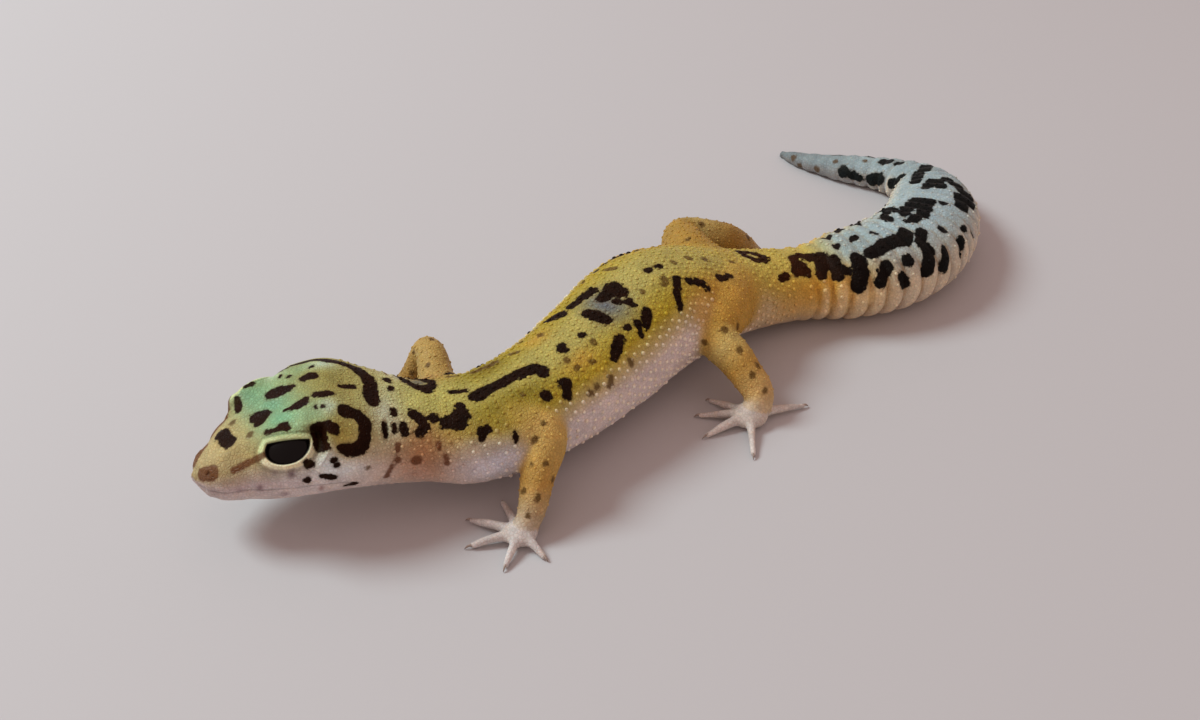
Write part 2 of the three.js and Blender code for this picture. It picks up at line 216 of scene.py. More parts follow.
@dataclass(frozen=True)
class Swelling:
    """A rounded rise or hollow on both sides of the body."""

    along: float
    angle: float
    lift: float
    spread: float
    turn: float

    def height(self, along: np.ndarray, degrees: np.ndarray) -> np.ndarray:
        """Height of the swelling at each place."""
        total = np.zeros(np.broadcast(along, degrees).shape)
        for middle in (self.angle, 180 - self.angle):
            away = turn_between(degrees, middle) / self.turn
            total += self.lift * np.exp(-(((along - self.along) / self.spread) ** 2) - away**2)
        return total


@dataclass
class BodyForm:
    """The trunk, head and tail as rings round a bent spine."""

    stations: Rows = STATIONS
    swellings: tuple[Swelling, ...] = (
        Swelling(10.7, 40, 1.7, 2.6, 20),  # brows
        Swelling(22.5, 40, 0.65, 6.5, 26),  # back of the head
        Swelling(13.2, 20, 0.7, 4.5, 24),  # sides of the eye sockets
    )

    def __post_init__(self) -> None:
        """Lay smooth lines through the stations."""
        rows = np.array(self.stations)
        rows[:, :2] -= ORIGIN
        steps = np.hypot(np.diff(rows[:, 0]), np.diff(rows[:, 1]))
        knots = np.concatenate([[0.0], np.cumsum(steps)])
        self.length = float(knots[-1])
        self.spine = [SmoothTable(knots, rows[:, i]) for i in (0, 1)]
        self.sizes = [SmoothTable(knots, rows[:, i], steady=True) for i in (2, 3, 4)]

    def ring(self, along: np.ndarray) -> dict[str, np.ndarray]:
        """Middle, heading and sizes of the ring at each distance from the snout.

        Args:
            along: Distances from the snout.

        Returns:
            x, y, z of the middle, the heading's tx and ty, and the ring's half width and half height.
        """
        x, y = (line.at(along) for line in self.spine)
        tx, ty = (line.slope(along) for line in self.spine)
        size = np.hypot(tx, ty)
        half, low, high = (line.at(along) for line in self.sizes)
        return {"x": x, "y": y, "z": (low + high) / 2, "tx": tx / size, "ty": ty / size,
                "half": half, "rise": (high - low) / 2}

    def reach(self, along: np.ndarray, degrees: np.ndarray) -> np.ndarray:
        """Distance from the ring's middle to the skin at each place."""
        ring = self.ring(along)
        turn = np.radians(degrees)
        wide = np.abs(np.cos(turn) / ring["half"]) ** SQUARENESS
        tall = np.abs(np.sin(turn) / ring["rise"]) ** SQUARENESS
        oval = (wide + tall) ** (-1 / SQUARENESS)
        depth = COAT_DEPTH * (1 - ease(along, self.length - 12, self.length))
        return oval - depth + sum(s.height(along, degrees) for s in self.swellings)

    def point(self, along: np.ndarray, degrees: np.ndarray, out: np.ndarray | float = 0.0) -> np.ndarray:
        """Points of the skin.

        Args:
            along: Distances from the snout.
            degrees: Angles round the body.
            out: Distance out of the skin.

        Returns:
            An array of points, three values each.
        """
        along, degrees = np.broadcast_arrays(np.asarray(along, float), np.asarray(degrees, float))
        ring = self.ring(along)
        reach = self.reach(along, degrees) + out
        side = reach * np.cos(np.radians(degrees))
        up = reach * np.sin(np.radians(degrees))
        return np.stack([ring["x"] + ring["ty"] * side, ring["y"] - ring["tx"] * side, ring["z"] + up], -1)

    def normal(self, along: np.ndarray, degrees: np.ndarray) -> np.ndarray:
        """Outward unit vectors at places on the skin."""
        step = 0.3
        down = self.point(along + step, degrees) - self.point(along - step, degrees)
        turn = np.degrees(step / np.maximum(self.reach(along, degrees), 1.0))
        round_it = self.point(along, degrees + turn) - self.point(along, degrees - turn)
        normal = np.cross(down, round_it)
        out = self.point(along, degrees, 1.0) - self.point(along, degrees)
        normal *= np.sign((normal * out).sum(-1, keepdims=True))
        return normal / np.linalg.norm(normal, axis=-1, keepdims=True)

    def nearest(self, x: np.ndarray, y: np.ndarray) -> tuple[np.ndarray, np.ndarray]:
        """Distance from the snout of the ring that each plan point lies in.

        Args:
            x: Plan places to the left.
            y: Plan places towards the tail.

        Returns:
            Distances from the snout, and how far each point lies past the body's ends.
        """
        marks = np.arange(0.0, self.length, 1.0)
        ring = self.ring(marks)
        along = np.empty(len(x))
        for part in np.array_split(np.arange(len(x)), max(1, len(x) // 20000)):
            far = (x[part, None] - ring["x"]) ** 2 + (y[part, None] - ring["y"]) ** 2
            along[part] = marks[far.argmin(1)]
        for _ in range(6):
            here = self.ring(along)
            ahead = (x - here["x"]) * here["tx"] + (y - here["y"]) * here["ty"]
            along = np.clip(along + 0.7 * ahead, 0, self.length)
        here = self.ring(along)
        ahead = (x - here["x"]) * here["tx"] + (y - here["y"]) * here["ty"]
        past = np.where(along <= 0, -ahead, np.where(along >= self.length, ahead, 0.0))
        return along, np.maximum(past, 0)

    def place(self, points: np.ndarray) -> dict[str, np.ndarray]:
        """Where points lie in the body's own terms.

        Args:
            points: Points, three values each.

        Returns:
            along, degrees, past the ends, and the distance out of the skin.
        """
        along, past = self.nearest(points[:, 0], points[:, 1])
        return self.measure(along, past, points[:, 0], points[:, 1], points[:, 2])

    def measure(self, along: np.ndarray, past: np.ndarray, x: np.ndarray, y: np.ndarray,
                z: np.ndarray) -> dict[str, np.ndarray]:
        """Angles and distances of points whose rings are known.

        Args:
            along: Distances from the snout.
            past: Distances past the ends of the body.
            x: Places to the left.
            y: Places towards the tail.
            z: Heights.

        Returns:
            along, degrees, past (distance over the ends) and out (distance out of the skin).
        """
        ring = self.ring(along)
        side = (x - ring["x"]) * ring["ty"] - (y - ring["y"]) * ring["tx"]
        up = z - ring["z"]
        degrees = np.degrees(np.arctan2(up, side))
        out = np.hypot(side, up) - self.reach(along, degrees)
        out = np.where(past > 0, np.hypot(np.maximum(out, 0), past), out)
        return {"along": along, "degrees": degrees, "past": past, "out": out}


# ---------------------------------------------------------------- legs


def ball_chain(rows: Rows, pitch: float = 0.3) -> np.ndarray:
    """Balls set closely along a smooth line.

    Args:
        rows: Knots of the line, as x, y, z and radius in the stations' plan.
        pitch: Distance between balls.

    Returns:
        Rows of x, y, z and radius in the row frame.
    """
    knots = np.array(rows, float)
    knots[:, :2] -= ORIGIN
    steps = np.linalg.norm(np.diff(knots[:, :3], axis=0), axis=1)
    at = np.concatenate([[0.0], np.cumsum(steps)])
    places = np.linspace(0, at[-1], max(2, int(at[-1] / pitch)))
    return np.stack([SmoothTable(at, knots[:, i], steady=i == 3).at(places) for i in range(4)], -1)


def chain_distance(points: np.ndarray, chain: np.ndarray) -> tuple[np.ndarray, np.ndarray]:
    """Distance from points to a chain of balls.

    Args:
        points: Points, three values each.
        chain: Balls, as x, y, z and radius.

    Returns:
        Distances to the nearest ball's surface, and the share of the chain passed there.
    """
    best = np.full(len(points), 1e3)
    share = np.zeros(len(points))
    for i, (x, y, z, radius) in enumerate(chain):
        away = np.sqrt((points[:, 0] - x) ** 2 + (points[:, 1] - y) ** 2 + (points[:, 2] - z) ** 2)
        nearer = away - radius < best
        best = np.where(nearer, away - radius, best)
        share = np.where(nearer, i / max(len(chain) - 1, 1), share)
    return best, share


@dataclass(frozen=True)
class Limb:
    """One leg from its root in the trunk to its toes."""

    name: str
    line: Rows
    palm: tuple[float, float, float, float]
    toes: Rows
    toe_radii: tuple[float, float, float] = (1.0, 0.68, 0.42)
    toe_heights: tuple[float, float] = (1.25, 0.55)
    bend: float = 0.45
    claw_length: float = 1.5
    shade: float = 1.0  # how light the leg is painted; under 1 it is painted shade, as on the far legs

    @property
    def hind(self) -> bool:
        """True for a hind leg."""
        return self.name.startswith("hind")

    def nodes(self) -> list[str]:
        """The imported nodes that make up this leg."""
        return [f"{self.name}_{part}" for part in ("upper_leg", "lower_leg", "foot")]

    def leg_chain(self) -> np.ndarray:
        """Balls from the leg's root down into its palm."""
        x, y, z, radius = self.palm
        rows = (*self.line, (x, y, z, radius * 0.62))
        chain = ball_chain(rows)
        chain[:, 3] -= LEG_DEPTH
        return chain

    def axes_at(self, chain: np.ndarray, index: int) -> tuple[np.ndarray, np.ndarray]:
        """Level and upward axes across the leg at one of its balls."""
        low, high = chain[max(index - 2, 0)], chain[min(index + 2, len(chain) - 1)]
        return cross_axes((high - low)[:3] / np.linalg.norm((high - low)[:3]))

    def toe_chains(self) -> list[np.ndarray]:
        """Balls along each toe, as far as its claw."""
        return [ball_chain(rows, 0.2) for rows in map(self._toe_rows, self.toes)]

    def _toe_rows(self, tip: tuple[float, float]) -> Rows:
        """Knots of one toe from the palm to where its claw leaves it."""
        x, y, z, _ = self.palm
        reach = math.hypot(tip[0] - x, tip[1] - y)
        end = 1 - self.claw_length * 0.75 / reach
        root, middle, last = self.toe_radii
        knuckle, low = self.toe_heights
        return (
            (x, y, z, root),
            (x + (tip[0] - x) * self.bend, y + (tip[1] - y) * self.bend, knuckle, middle),
            (x + (tip[0] - x) * end, y + (tip[1] - y) * end, low, last),
        )

    def box(self, margin: float) -> tuple[np.ndarray, np.ndarray]:
        """Lowest and highest corner of the leg, with a margin."""
        chains = np.concatenate([self.leg_chain(), *self.toe_chains()])
        low = (chains[:, :3] - chains[:, 3:]).min(0) - margin
        return low, (chains[:, :3] + chains[:, 3:]).max(0) + margin

    def distance(self, points: np.ndarray) -> dict[str, np.ndarray]:
        """Distance from points to the leg.

        Args:
            points: Points, three values each.

        Returns:
            out: distance out of the leg's skin; down: share of the leg passed, over 1 on the foot.
        """
        out, down = chain_distance(points, self.leg_chain())
        x, y, z, radius = self.palm
        middle = np.array([x - ORIGIN[0], y - ORIGIN[1], z])
        flat = np.array([1.0, 1.0, 1 / 0.6])
        pad = (np.linalg.norm((points - middle) * flat, axis=1) - radius) * 0.8
        down = np.where(pad < out, 1.0, down)
        out = blend_near(out, pad, 0.8)
        for chain in self.toe_chains():
            toe, share = chain_distance(points, chain)
            down = np.where(toe < out, 1 + share, down)
            out = blend_near(out, toe, 0.5)
        return {"out": out, "down": down}


LIMBS = (
    Limb("front_left",
         ((12.5, -35.0, 9.5, 4.6), (17.0, -31.5, 11.2, 4.2), (21.0, -28.9, 10.9, 3.5),
          (24.4, -32.9, 6.8, 2.7), (27.4, -37.2, 2.7, 2.0)),
         (27.6, -38.9, 1.3, 2.6),
         ((18.9, -35.9), (18.9, -42.8), (24.0, -46.7), (31.7, -45.2), (34.3, -38.8))),
    Limb("front_right",
         ((8.4, -36.6, 9.5, 4.2), (0.8, -34.2, 11.0, 3.2), (-7.6, -30.8, 12.0, 2.4),
          (-8.6, -33.2, 7.4, 2.2), (-11.2, -37.8, 2.7, 1.8)),
         (-12.6, -39.2, 1.3, 2.6),
         ((-4.4, -36.6), (-4.4, -43.2), (-9.6, -47.0), (-17.2, -45.6), (-19.6, -39.2)), shade=0.88),
    Limb("hind_left",
         ((9.5, 21.0, 9.5, 5.8), (13.5, 15.8, 10.8, 5.2), (16.7, 10.9, 10.4, 3.9),
          (23.8, 10.5, 7.3, 3.1), (29.2, 9.9, 3.0, 2.4)),
         (29.4, 7.8, 1.4, 2.9),
         ((20.5, 6.1), (22.6, 1.5), (27.8, -1.5), (37.0, 1.2), (32.9, 18.3))),
    Limb("hind_right",
         ((5.0, 22.0, 9.5, 5.6), (-3.3, 24.0, 10.4, 4.8), (-9.8, 28.5, 9.8, 3.5),
          (-6.3, 34.8, 8.0, 3.5), (-4.4, 41.8, 3.0, 2.1)),
         (-3.4, 43.2, 1.4, 2.9),
         ((3.0, 38.6), (-1.6, 34.6), (-8.4, 36.6), (-10.0, 41.6), (-1.8, 51.2)), shade=0.88),
)


# ---------------------------------------------------------------- the head's fine forms


@dataclass
class Eye:
    """One eye: its ball, and the lids that lie on it."""

    body: BodyForm
    left_side: bool
    along: float = 12.6
    angle: float = 30.0
    long: float = 4.0  # half sizes of the ball: along the head, up it and into it
    high: float = 3.5
    deep: float = 2.8
    sunk: float = 2.85
    lid: float = 0.42  # thickness of the lids
    lid_edge: float = 0.06  # and at their edge
    cover: float = 0.9  # how far the lids reach past the ball
    slit_long: float = 3.25  # half sizes of the lids' opening, the others in front and behind
    slit_tall: tuple[float, float] = (2.3, 2.7)
    slit_raised: tuple[float, float] = (0.5, 0.9)
    slit_scale: float = 2.6
    fold_depth: float = 0.16  # the fold round the lids
    fold_place: float = 1.15
    fold_width: float = 0.2
    socket_depth: float = 0.55
    droop: float = 0.02  # how much lower the front corner lies, as a slope
    bulge: float = 0.14  # how far the clear front stands out
    bulge_width: float = 2.0
    ball_steps: tuple[int, int] = (64, 40)  # round the ball, and from front to back

    def __post_init__(self) -> None:
        """Set the eye's own axes: forward, up and outward."""
        degrees = self.angle if self.left_side else 180 - self.angle
        self.middle = self.body.point(self.along, degrees)
        self.outward = self.body.normal(np.array(self.along), np.array(degrees))
        ring = self.body.ring(np.array(self.along))
        ahead = -np.array([float(ring["tx"]), float(ring["ty"]), self.droop])
        ahead -= self.outward * (ahead @ self.outward)
        self.forward = ahead / np.linalg.norm(ahead)
        up = np.cross(self.outward, self.forward)
        self.upward = up * np.sign(up[2])

    def local(self, points: np.ndarray) -> np.ndarray:
        """Points in the eye's own axes, measured from the skin over its middle."""
        return (points - self.middle) @ np.stack([self.forward, self.upward, self.outward], 1)

    def opening(self, ahead: np.ndarray, above: np.ndarray) -> np.ndarray:
        """Signed distance from the edge of the lids' opening, positive on the lids.

        Args:
            ahead: Distances towards the snout.
            above: Distances up the side of the head.

        Returns:
            Distances from the opening's edge.
        """
        raised = np.where(ahead > 0, *self.slit_raised)
        tall = np.where(ahead > 0, *self.slit_tall)
        oval = (np.hypot(ahead / self.slit_long, (above - raised) / tall) - 1) * self.slit_scale
        upper_lid = above - (1.5 + 0.2 * ahead - 0.015 * ahead**2)
        return np.maximum(oval, upper_lid)

    def ball_height(self, ahead: np.ndarray, above: np.ndarray, grow: float = 0.0) -> np.ndarray:
        """Height of the eyeball's surface over the skin's, swollen sideways by `grow`."""
        inside = 1 - (ahead / (self.long + grow)) ** 2 - (above / (self.high + grow)) ** 2
        return self.deep * np.sqrt(np.maximum(inside, 0)) - self.sunk

    def shape(self, points: np.ndarray) -> dict[str, np.ndarray]:
        """Draw the skin round the eye into lids with an opening.

        Args:
            points: Points of the skin.

        Returns:
            The moved points, the distance from the opening's edge, and the pale rim with its upper part.
        """
        ahead, above, height = self.local(points).T
        edge = self.opening(ahead, above)
        near = (height > -3.5) & (np.hypot(ahead, above) < 7)
        edge = np.where(near, edge, FAR)
        thickness = self.lid_edge + (self.lid - self.lid_edge) * ease(edge, 0.0, 0.34)
        thickness -= self.fold_depth * np.exp(-(((edge - self.fold_place) / self.fold_width) ** 2))
        lid_height = self.ball_height(ahead, above, self.cover) + thickness
        on_lid = 1 - ease(edge, 0.75, 2.5)
        target = height + (lid_height - height) * on_lid
        floor = self.ball_height(ahead, above) - self.socket_depth
        target = np.where(edge < 0, lid_height + (floor - lid_height) * ease(-edge, 0.0, 0.22), target)
        moved = points + self.outward * ((target - height) * near)[:, None]
        rim = ease(edge, 0.04, 0.2) * (1 - ease(edge, 0.72, 1.0)) * near
        return {"points": moved, "edge": edge, "rim": rim, "upper": ease(above, -0.4, 0.9)}

    def ball(self) -> tuple[np.ndarray, list[list[int]]]:
        """Lay out the eyeball in its own axes, always in the same order.

        Returns:
            Points in millimetres, and the corners of each face, turned outward.
        """
        around, levels = self.ball_steps
        tilt = np.repeat(np.pi * np.arange(1, levels) / levels, around)
        turn = np.tile(2 * np.pi * np.arange(around) / around, levels - 1)
        rings = np.stack([np.sin(tilt) * np.cos(turn), np.sin(tilt) * np.sin(turn), np.cos(tilt)], 1)
        points = np.concatenate([[(0.0, 0.0, 1.0)], rings, [(0.0, 0.0, -1.0)]])
        points *= (self.long, self.high, self.deep)
        bulge = np.exp(-((np.hypot(points[:, 0], points[:, 1]) / self.bulge_width) ** 2))
        points[:, 2] += self.bulge * bulge * (points[:, 2] > 1e-6)
        bottom = len(points) - 1
        faces = []
        for k in range(around):
            beside = (k + 1) % around
            faces.append([0, 1 + k, 1 + beside])
            for first in range(1, bottom - around, around):
                faces.append([first + k, first + around + k, first + around + beside, first + beside])
            faces.append([bottom, bottom - around + beside, bottom - around + k])
        return points, faces

    def build(self, name: str) -> bpy.types.Object:
        """Make the eyeball and place it in its socket."""
        points, faces = self.ball()
        mesh = bpy.data.meshes.new(name)
        mesh.from_pydata(points.tolist(), [], faces)
        mesh.shade_smooth()
        axes = Matrix(np.stack([self.forward, self.upward, self.outward], 1).tolist()).to_4x4()
        middle = Vector((self.middle - self.outward * self.sunk) * MM)
        piece = to_scene(name, mesh)
        piece.matrix_world = Matrix.Translation(middle) @ axes @ Matrix.Scale(MM, 4)
        return piece


@dataclass(frozen=True)
class Mouth:
    """The line of the lips, and the scales along it."""

    heights: Rows = ((0, 9.8), (5, 10.1), (10, 10.7), (15, 11.2), (19, 10.9), (22.5, 9.7))
    turn: float = -0.232  # the head's axis, turned from +Y
    scale_length: float = 1.35
    groove_depth: float = 0.26
    groove_width: float = 0.17
    lip_swell: float = 0.1

    def along(self, points: np.ndarray) -> np.ndarray:
        """Distance of points from the snout's tip along the head's axis."""
        start = np.array(STATIONS[0][:2]) - ORIGIN
        axis = np.array([-math.sin(self.turn), math.cos(self.turn)])
        return (points[:, :2] - start) @ axis

    def above(self, points: np.ndarray) -> np.ndarray:
        """Height of points over the lips' line, large where there are no lips."""
        places, heights = np.array(self.heights).T
        along = self.along(points)
        line = np.interp(along, places, heights)
        return np.where(along < places[-1], points[:, 2] - line, FAR)

    def relief(self, points: np.ndarray) -> np.ndarray:
        """Height of the lips' forms over the plain head."""
        along, above = self.along(points), self.above(points)
        fade = (1 - ease(along, 19.5, 22.5)) * (0.3 + 0.7 * ease(along, 0.4, 2.6))
        line = -self.groove_depth * np.exp(-((above / self.groove_width) ** 2))
        lips = self.lip_swell * np.exp(-(((above - 0.55) / 0.4) ** 2))
        lips -= 0.12 * ease(-above, 0.05, 0.4) * (above > -3)  # the lower jaw lies a little further in
        notch = np.abs((along / self.scale_length) % 1 - 0.5)
        rows = np.exp(-(((np.abs(above) - 0.75) / 0.6) ** 2))
        scales = -0.09 * ease(notch, 0.36, 0.5) * rows - 0.07 * np.exp(-(((above - 1.55) / 0.12) ** 2))
        return (line + lips + scales * (1 - ease(along, 15, 19))) * fade


@dataclass(frozen=True)
class Pit:
    """A small hole in the skin with a raised rim, on both sides of the head."""

    along: float
    angle: float
    half_along: float
    half_round: float
    depth: float
    rim: float = 0.0

    def distance(self, body: BodyForm, points: np.ndarray) -> np.ndarray:
        """Distance of points from the pit's middle, as shares of its half sizes."""
        best = np.full(len(points), 99.0)
        for degrees in (self.angle, 180 - self.angle):
            middle = body.point(self.along, degrees)
            ring = body.ring(np.array(self.along))
            heading = np.array([float(ring["tx"]), float(ring["ty"]), 0.0])
            away = points - middle
            down = away @ heading
            round_it = np.sqrt(np.maximum((away**2).sum(1) - down**2, 0))
            best = np.minimum(best, np.hypot(down / self.half_along, round_it / self.half_round))
        return best

    def relief(self, body: BodyForm, points: np.ndarray) -> np.ndarray:
        """Height of the pit and its rim over the plain skin."""
        away = self.distance(body, points)
        return self.rim * np.exp(-(((away - 1.6) / 0.5) ** 2)) - self.depth * (1 - ease(away, 0.35, 1.15))


NOSTRIL = Pit(1.8, 41, 0.34, 0.42, 0.2, rim=0.12)
EAR = Pit(30.2, 37, 0.42, 1.5, 0.8, rim=0.1)

# Soft forms of the flesh.
FLESH: tuple[Swelling, ...] = (
    Swelling(24.0, 4, 0.35, 3.6, 24),  # jaw muscles
    Swelling(7.2, 44, -0.30, 2.4, 16),  # hollows of the snout
    Swelling(5.2, 66, 0.16, 3.0, 12),  # bridge of the nose
    Swelling(13.0, 84, -0.30, 4.0, 14),  # hollow between the brows
    Swelling(19.0, 50, -0.22, 2.6, 15),  # hollows behind the brows
    Swelling(25.5, 62, 0.22, 3.4, 22),  # back of the skull
    Swelling(104.5, -75, 0.22, 1.6, 30),  # swellings behind the vent
    Swelling(16.4, 42, 0.3, 2.0, 18),  # rear ends of the brows
    Swelling(9.2, 34, -0.5, 1.8, 13),  # hollows in front of the eyes
    Swelling(21.0, 66, 0.3, 3.8, 22),  # temples
)


@dataclass
class Relief:
    """Everything smaller than the body's main form that the skin itself takes on."""

    body: BodyForm
    mouth: Mouth = field(default_factory=Mouth)
    ring_pitch: float = 2.9
    ring_depth: float = 0.34

    def tail_rings(self, along: np.ndarray, degrees: np.ndarray) -> np.ndarray:
        """Height of the tail's rings: broad rounds with narrow valleys between them."""
        crest = np.abs(np.cos(np.pi * along / self.ring_pitch))
        wave = 1 - 2 * (1 - crest) ** 1.6
        fade = ease(along, 112, 121) * (1 - 0.55 * ease(along, 165, 200))
        flank = 0.8 + 0.55 * ease(np.abs(turn_between(degrees, 90)), 40, 85)
        return self.ring_depth * wave * fade * flank * (1 - 0.6 * ease(along, 176, 196))

    def neck_folds(self, along: np.ndarray, degrees: np.ndarray) -> np.ndarray:
        """Height of the fine loose folds on the sides of the neck."""
        side = 90 - np.abs(turn_between(degrees, 90))
        place = np.exp(-(((along - 41.5) / 3.6) ** 2) - ((side - 2) / 26) ** 2)
        lean = along + 0.05 * side
        throat = 0.6 * np.exp(-(((along - 30) / 4.0) ** 2) - ((side + 40) / 26) ** 2)
        return 0.13 * np.cos(2 * np.pi * lean / 1.25) * (place + throat)

    def loose_skin(self, points: np.ndarray) -> np.ndarray:
        """Height of faint, slow unevenness that keeps the flesh from looking turned on a lathe."""
        x, y, z = points.T
        first = np.sin(0.62 * x + 1.3) * np.sin(0.47 * y + 0.4) * np.sin(0.71 * z + 0.9)
        second = np.sin(1.37 * x + 0.31 * y) * np.sin(1.11 * z - 0.8 * y + 2.0)
        return 0.09 * first + 0.045 * second

    def height(self, place: dict[str, np.ndarray], points: np.ndarray) -> np.ndarray:
        """Height of all the relief on the trunk, head and tail.

        Args:
            place: Where the points lie, from BodyForm.place.
            points: Points of the plain skin.

        Returns:
            Heights out of the plain skin.
        """
        along, degrees = place["along"], place["degrees"]
        total = self.tail_rings(along, degrees) + self.neck_folds(along, degrees)
        total += sum(form.height(along, degrees) for form in FLESH)
        total += NOSTRIL.relief(self.body, points) + EAR.relief(self.body, points)
        return total + self.mouth.relief(points) * (along < 26)


# ---------------------------------------------------------------- markings


class Ink(Enum):
    """What a mark is painted with."""

    DARK = "dark"
    STAIN = "stain"
    RUST = "rust"


@dataclass(frozen=True)
class Mark:
    """A spot or stroke: its half width and the places that it runs through.

    A place is a distance and an angle, and may have a half width of its own.
    """

    half_width: float
    places: Rows
    ink: Ink = Ink.DARK
    bleed: float = 0.0  # how far the ink runs out past the half widths
    ahead: float = 0.4  # marks are measured from this far ahead of the snout's first ring
    lift: float = 0.4  # and round a line this far above the middles of the sections

    def chain(self, body: BodyForm) -> np.ndarray:
        """Balls along the mark on the skin, as x, y, z and radius."""
        rows = [(*place, self.half_width)[:3] for place in self.places]
        along, degrees, width = np.array(rows, float).T
        along = along - self.ahead
        turn, reach = np.radians(degrees), body.reach(along, degrees)
        degrees = np.degrees(np.arctan2(reach * np.sin(turn) + self.lift, reach * np.cos(turn)))
        places = np.stack([along, np.where(degrees < -90, degrees + 360, degrees), width + self.bleed], 1)
        if len(places) > 1:
            steps = np.linalg.norm(np.diff(body.point(places[:, 0], places[:, 1]), axis=0), axis=1)
            at = np.concatenate([[0.0], np.cumsum(steps)])
            even = np.linspace(0, at[-1], max(2, int(at[-1] / 0.35)))
            places = np.stack([np.interp(even, at, places[:, i]) for i in range(3)], 1)
        return np.column_stack([body.point(places[:, 0], places[:, 1]), places[:, 2]])


def marks(ink: Ink, *rows: tuple, bleed: float = 0.0) -> tuple[Mark, ...]:
    """Marks in one ink, each row a half width and then its places."""
    return tuple(Mark(row[0], tuple(row[1:]), ink, bleed) for row in rows)


HEAD_MARKS = marks(
    Ink.DARK,
    (0.62, (5.8, 119), (6.2, 110, 0.8), (6.1, 96, 0.75), (6.3, 80, 0.85)),  # snout
    (0.5, (9.6, 130), (9.5, 128)), (0.2, (11.8, 136), (12.6, 136)),  # far brow
    (0.6, (10.8, 95), (12.2, 90, 0.7)), (0.7, (12.2, 90), (11.0, 80, 0.55)), (0.6, (11.4, 91), (11.2, 86)),
    (0.62, (14.2, 114), (15.4, 110, 0.7), (16.8, 106, 0.4), (17.4, 105, 0.1)),  # ovals of the crown
    (0.52, (19.2, 108), (19.8, 108, 0.62), (20.4, 106, 0.46)), (0.12, (20.6, 123)),
    (0.05, (15.0, 72), (16.2, 69, 0.26), (17.4, 67, 0.6), (18.4, 70, 0.32)),
    (0.3, (20.0, 71), (21.2, 69, 0.5), (22.6, 70, 0.2)), (0.22, (24.0, 87), (25.8, 92)),
    (0.34, (11.2, 53), (12.4, 50, 0.3), (13.6, 50, 0.58), (14.0, 46, 0.3)),  # over the eye
    (0.05, (16.6, 131)), (0.05, (17.4, 123)), (0.05, (19.4, 55)), (0.05, (20.6, 54)),
    (0.62, (18.4, 36), (22.6, 33)), (0.8, (18.6, 33), (18.4, 23, 0.75)), (0.45, (18.4, 23), (19.4, 21)),
    (0.9, (24.6, 49), (26.2, 47, 0.62), (27.4, 40, 0.78), (27.4, 30, 0.66), (26.8, 21, 0.72)),  # hook
    (0.66, (26.8, 21), (25.6, 17, 0.66), (24.4, 18, 0.55), (23.2, 19, 0.2)),
    (0.05, (16.8, 140), (18.0, 143, 0.2), (19.6, 142, 0.3), (20.8, 140, 0.4)),  # band over the nape
    (0.4, (20.8, 140), (22.6, 133, 0.45), (24.4, 132, 0.6), (26.4, 129, 0.75), (27.8, 116, 0.85)),
    (0.8, (27.8, 116), (28.4, 100), (28.4, 82, 1.05), (28.6, 70, 0.85)),
    (0.5, (15.2, 13)), (0.35, (14.4, -1)), (0.2, (20.6, 10), (21.8, 6)), (0.18, (17.4, 0), (19.8, -4)),
    (0.3, (18.6, -3)), (0.16, (23.6, -17), (25.0, -15)),
    (0.4, (30.8, 121)), (0.34, (31.3, 103)), (0.24, (31.7, 60), (31.9, 53)),
    (0.16, (30.4, 40), (30.6, 29)), (0.16, (31.8, 41), (31.8, 34)),
)
HEAD_STAINS = marks(
    Ink.STAIN,
    (0.45, (8.0, 117)), (0.5, (9.2, 65)), (0.3, (27.2, 1)), (0.1, (27.6, 148), (29.0, 148)),
)
RUST_MARKS = marks(
    Ink.RUST,
    (1.0, (1.3, 40), (2.8, 35)), (1.0, (1.3, 140), (2.8, 145)),  # nostrils
    (0.38, (5.2, 29), (6.2, 29, 0.46), (7.8, 30, 0.36), (9.0, 31, 0.42), (9.9, 33, 0.25)),  # nostril to eye
    (0.38, (5.2, 151), (6.2, 151, 0.46), (7.8, 150, 0.36), (9.0, 149, 0.42), (9.9, 147, 0.25)),
    (0.25, (31.2, 1), (30.2, -11)), (0.7, (34.4, 6)), (0.42, (32.0, 7)), (0.35, (38.6, 11), (38.6, 5)),
    (0.28, (37.8, 23), (37.8, 19)), (0.3, (32.2, 21), (32.1, 16)), (0.3, (32.0, 188)), (0.3, (30.6, 182)),
)
NECK_MARKS = marks(
    Ink.DARK,
    (0.55, (34.4, 57), (35.6, 48, 0.5), (36.0, 39, 0.55), (35.0, 33, 0.5)), (0.42, (37.4, 52), (37.3, 48)),
    (0.36, (33.0, 40), (33.2, 33)),
    (0.3, (32.2, 147), (34.2, 145), (35.8, 143), (37.4, 131, 0.5)),  # ring over the spine
    (0.34, (32.6, 142), (33.8, 128), (35.4, 116, 0.4), (36.8, 105, 0.55), (37.6, 120, 0.55)),
    (0.16, (40.4, 100), (42.8, 97)),
    (0.5, (41.2, 68), (41.4, 51, 0.8)), (0.95, (40.8, 43), (39.2, 44)),  # boot
    (0.6, (41.0, 58), (40.2, 50)),
    (0.6, (43.0, 31)), (0.5, (43.6, 32)), (0.45, (43.0, 30), (42.8, 25, 0.25)),  # heart
    (0.16, (46.3, 22), (46.0, 16)),
)
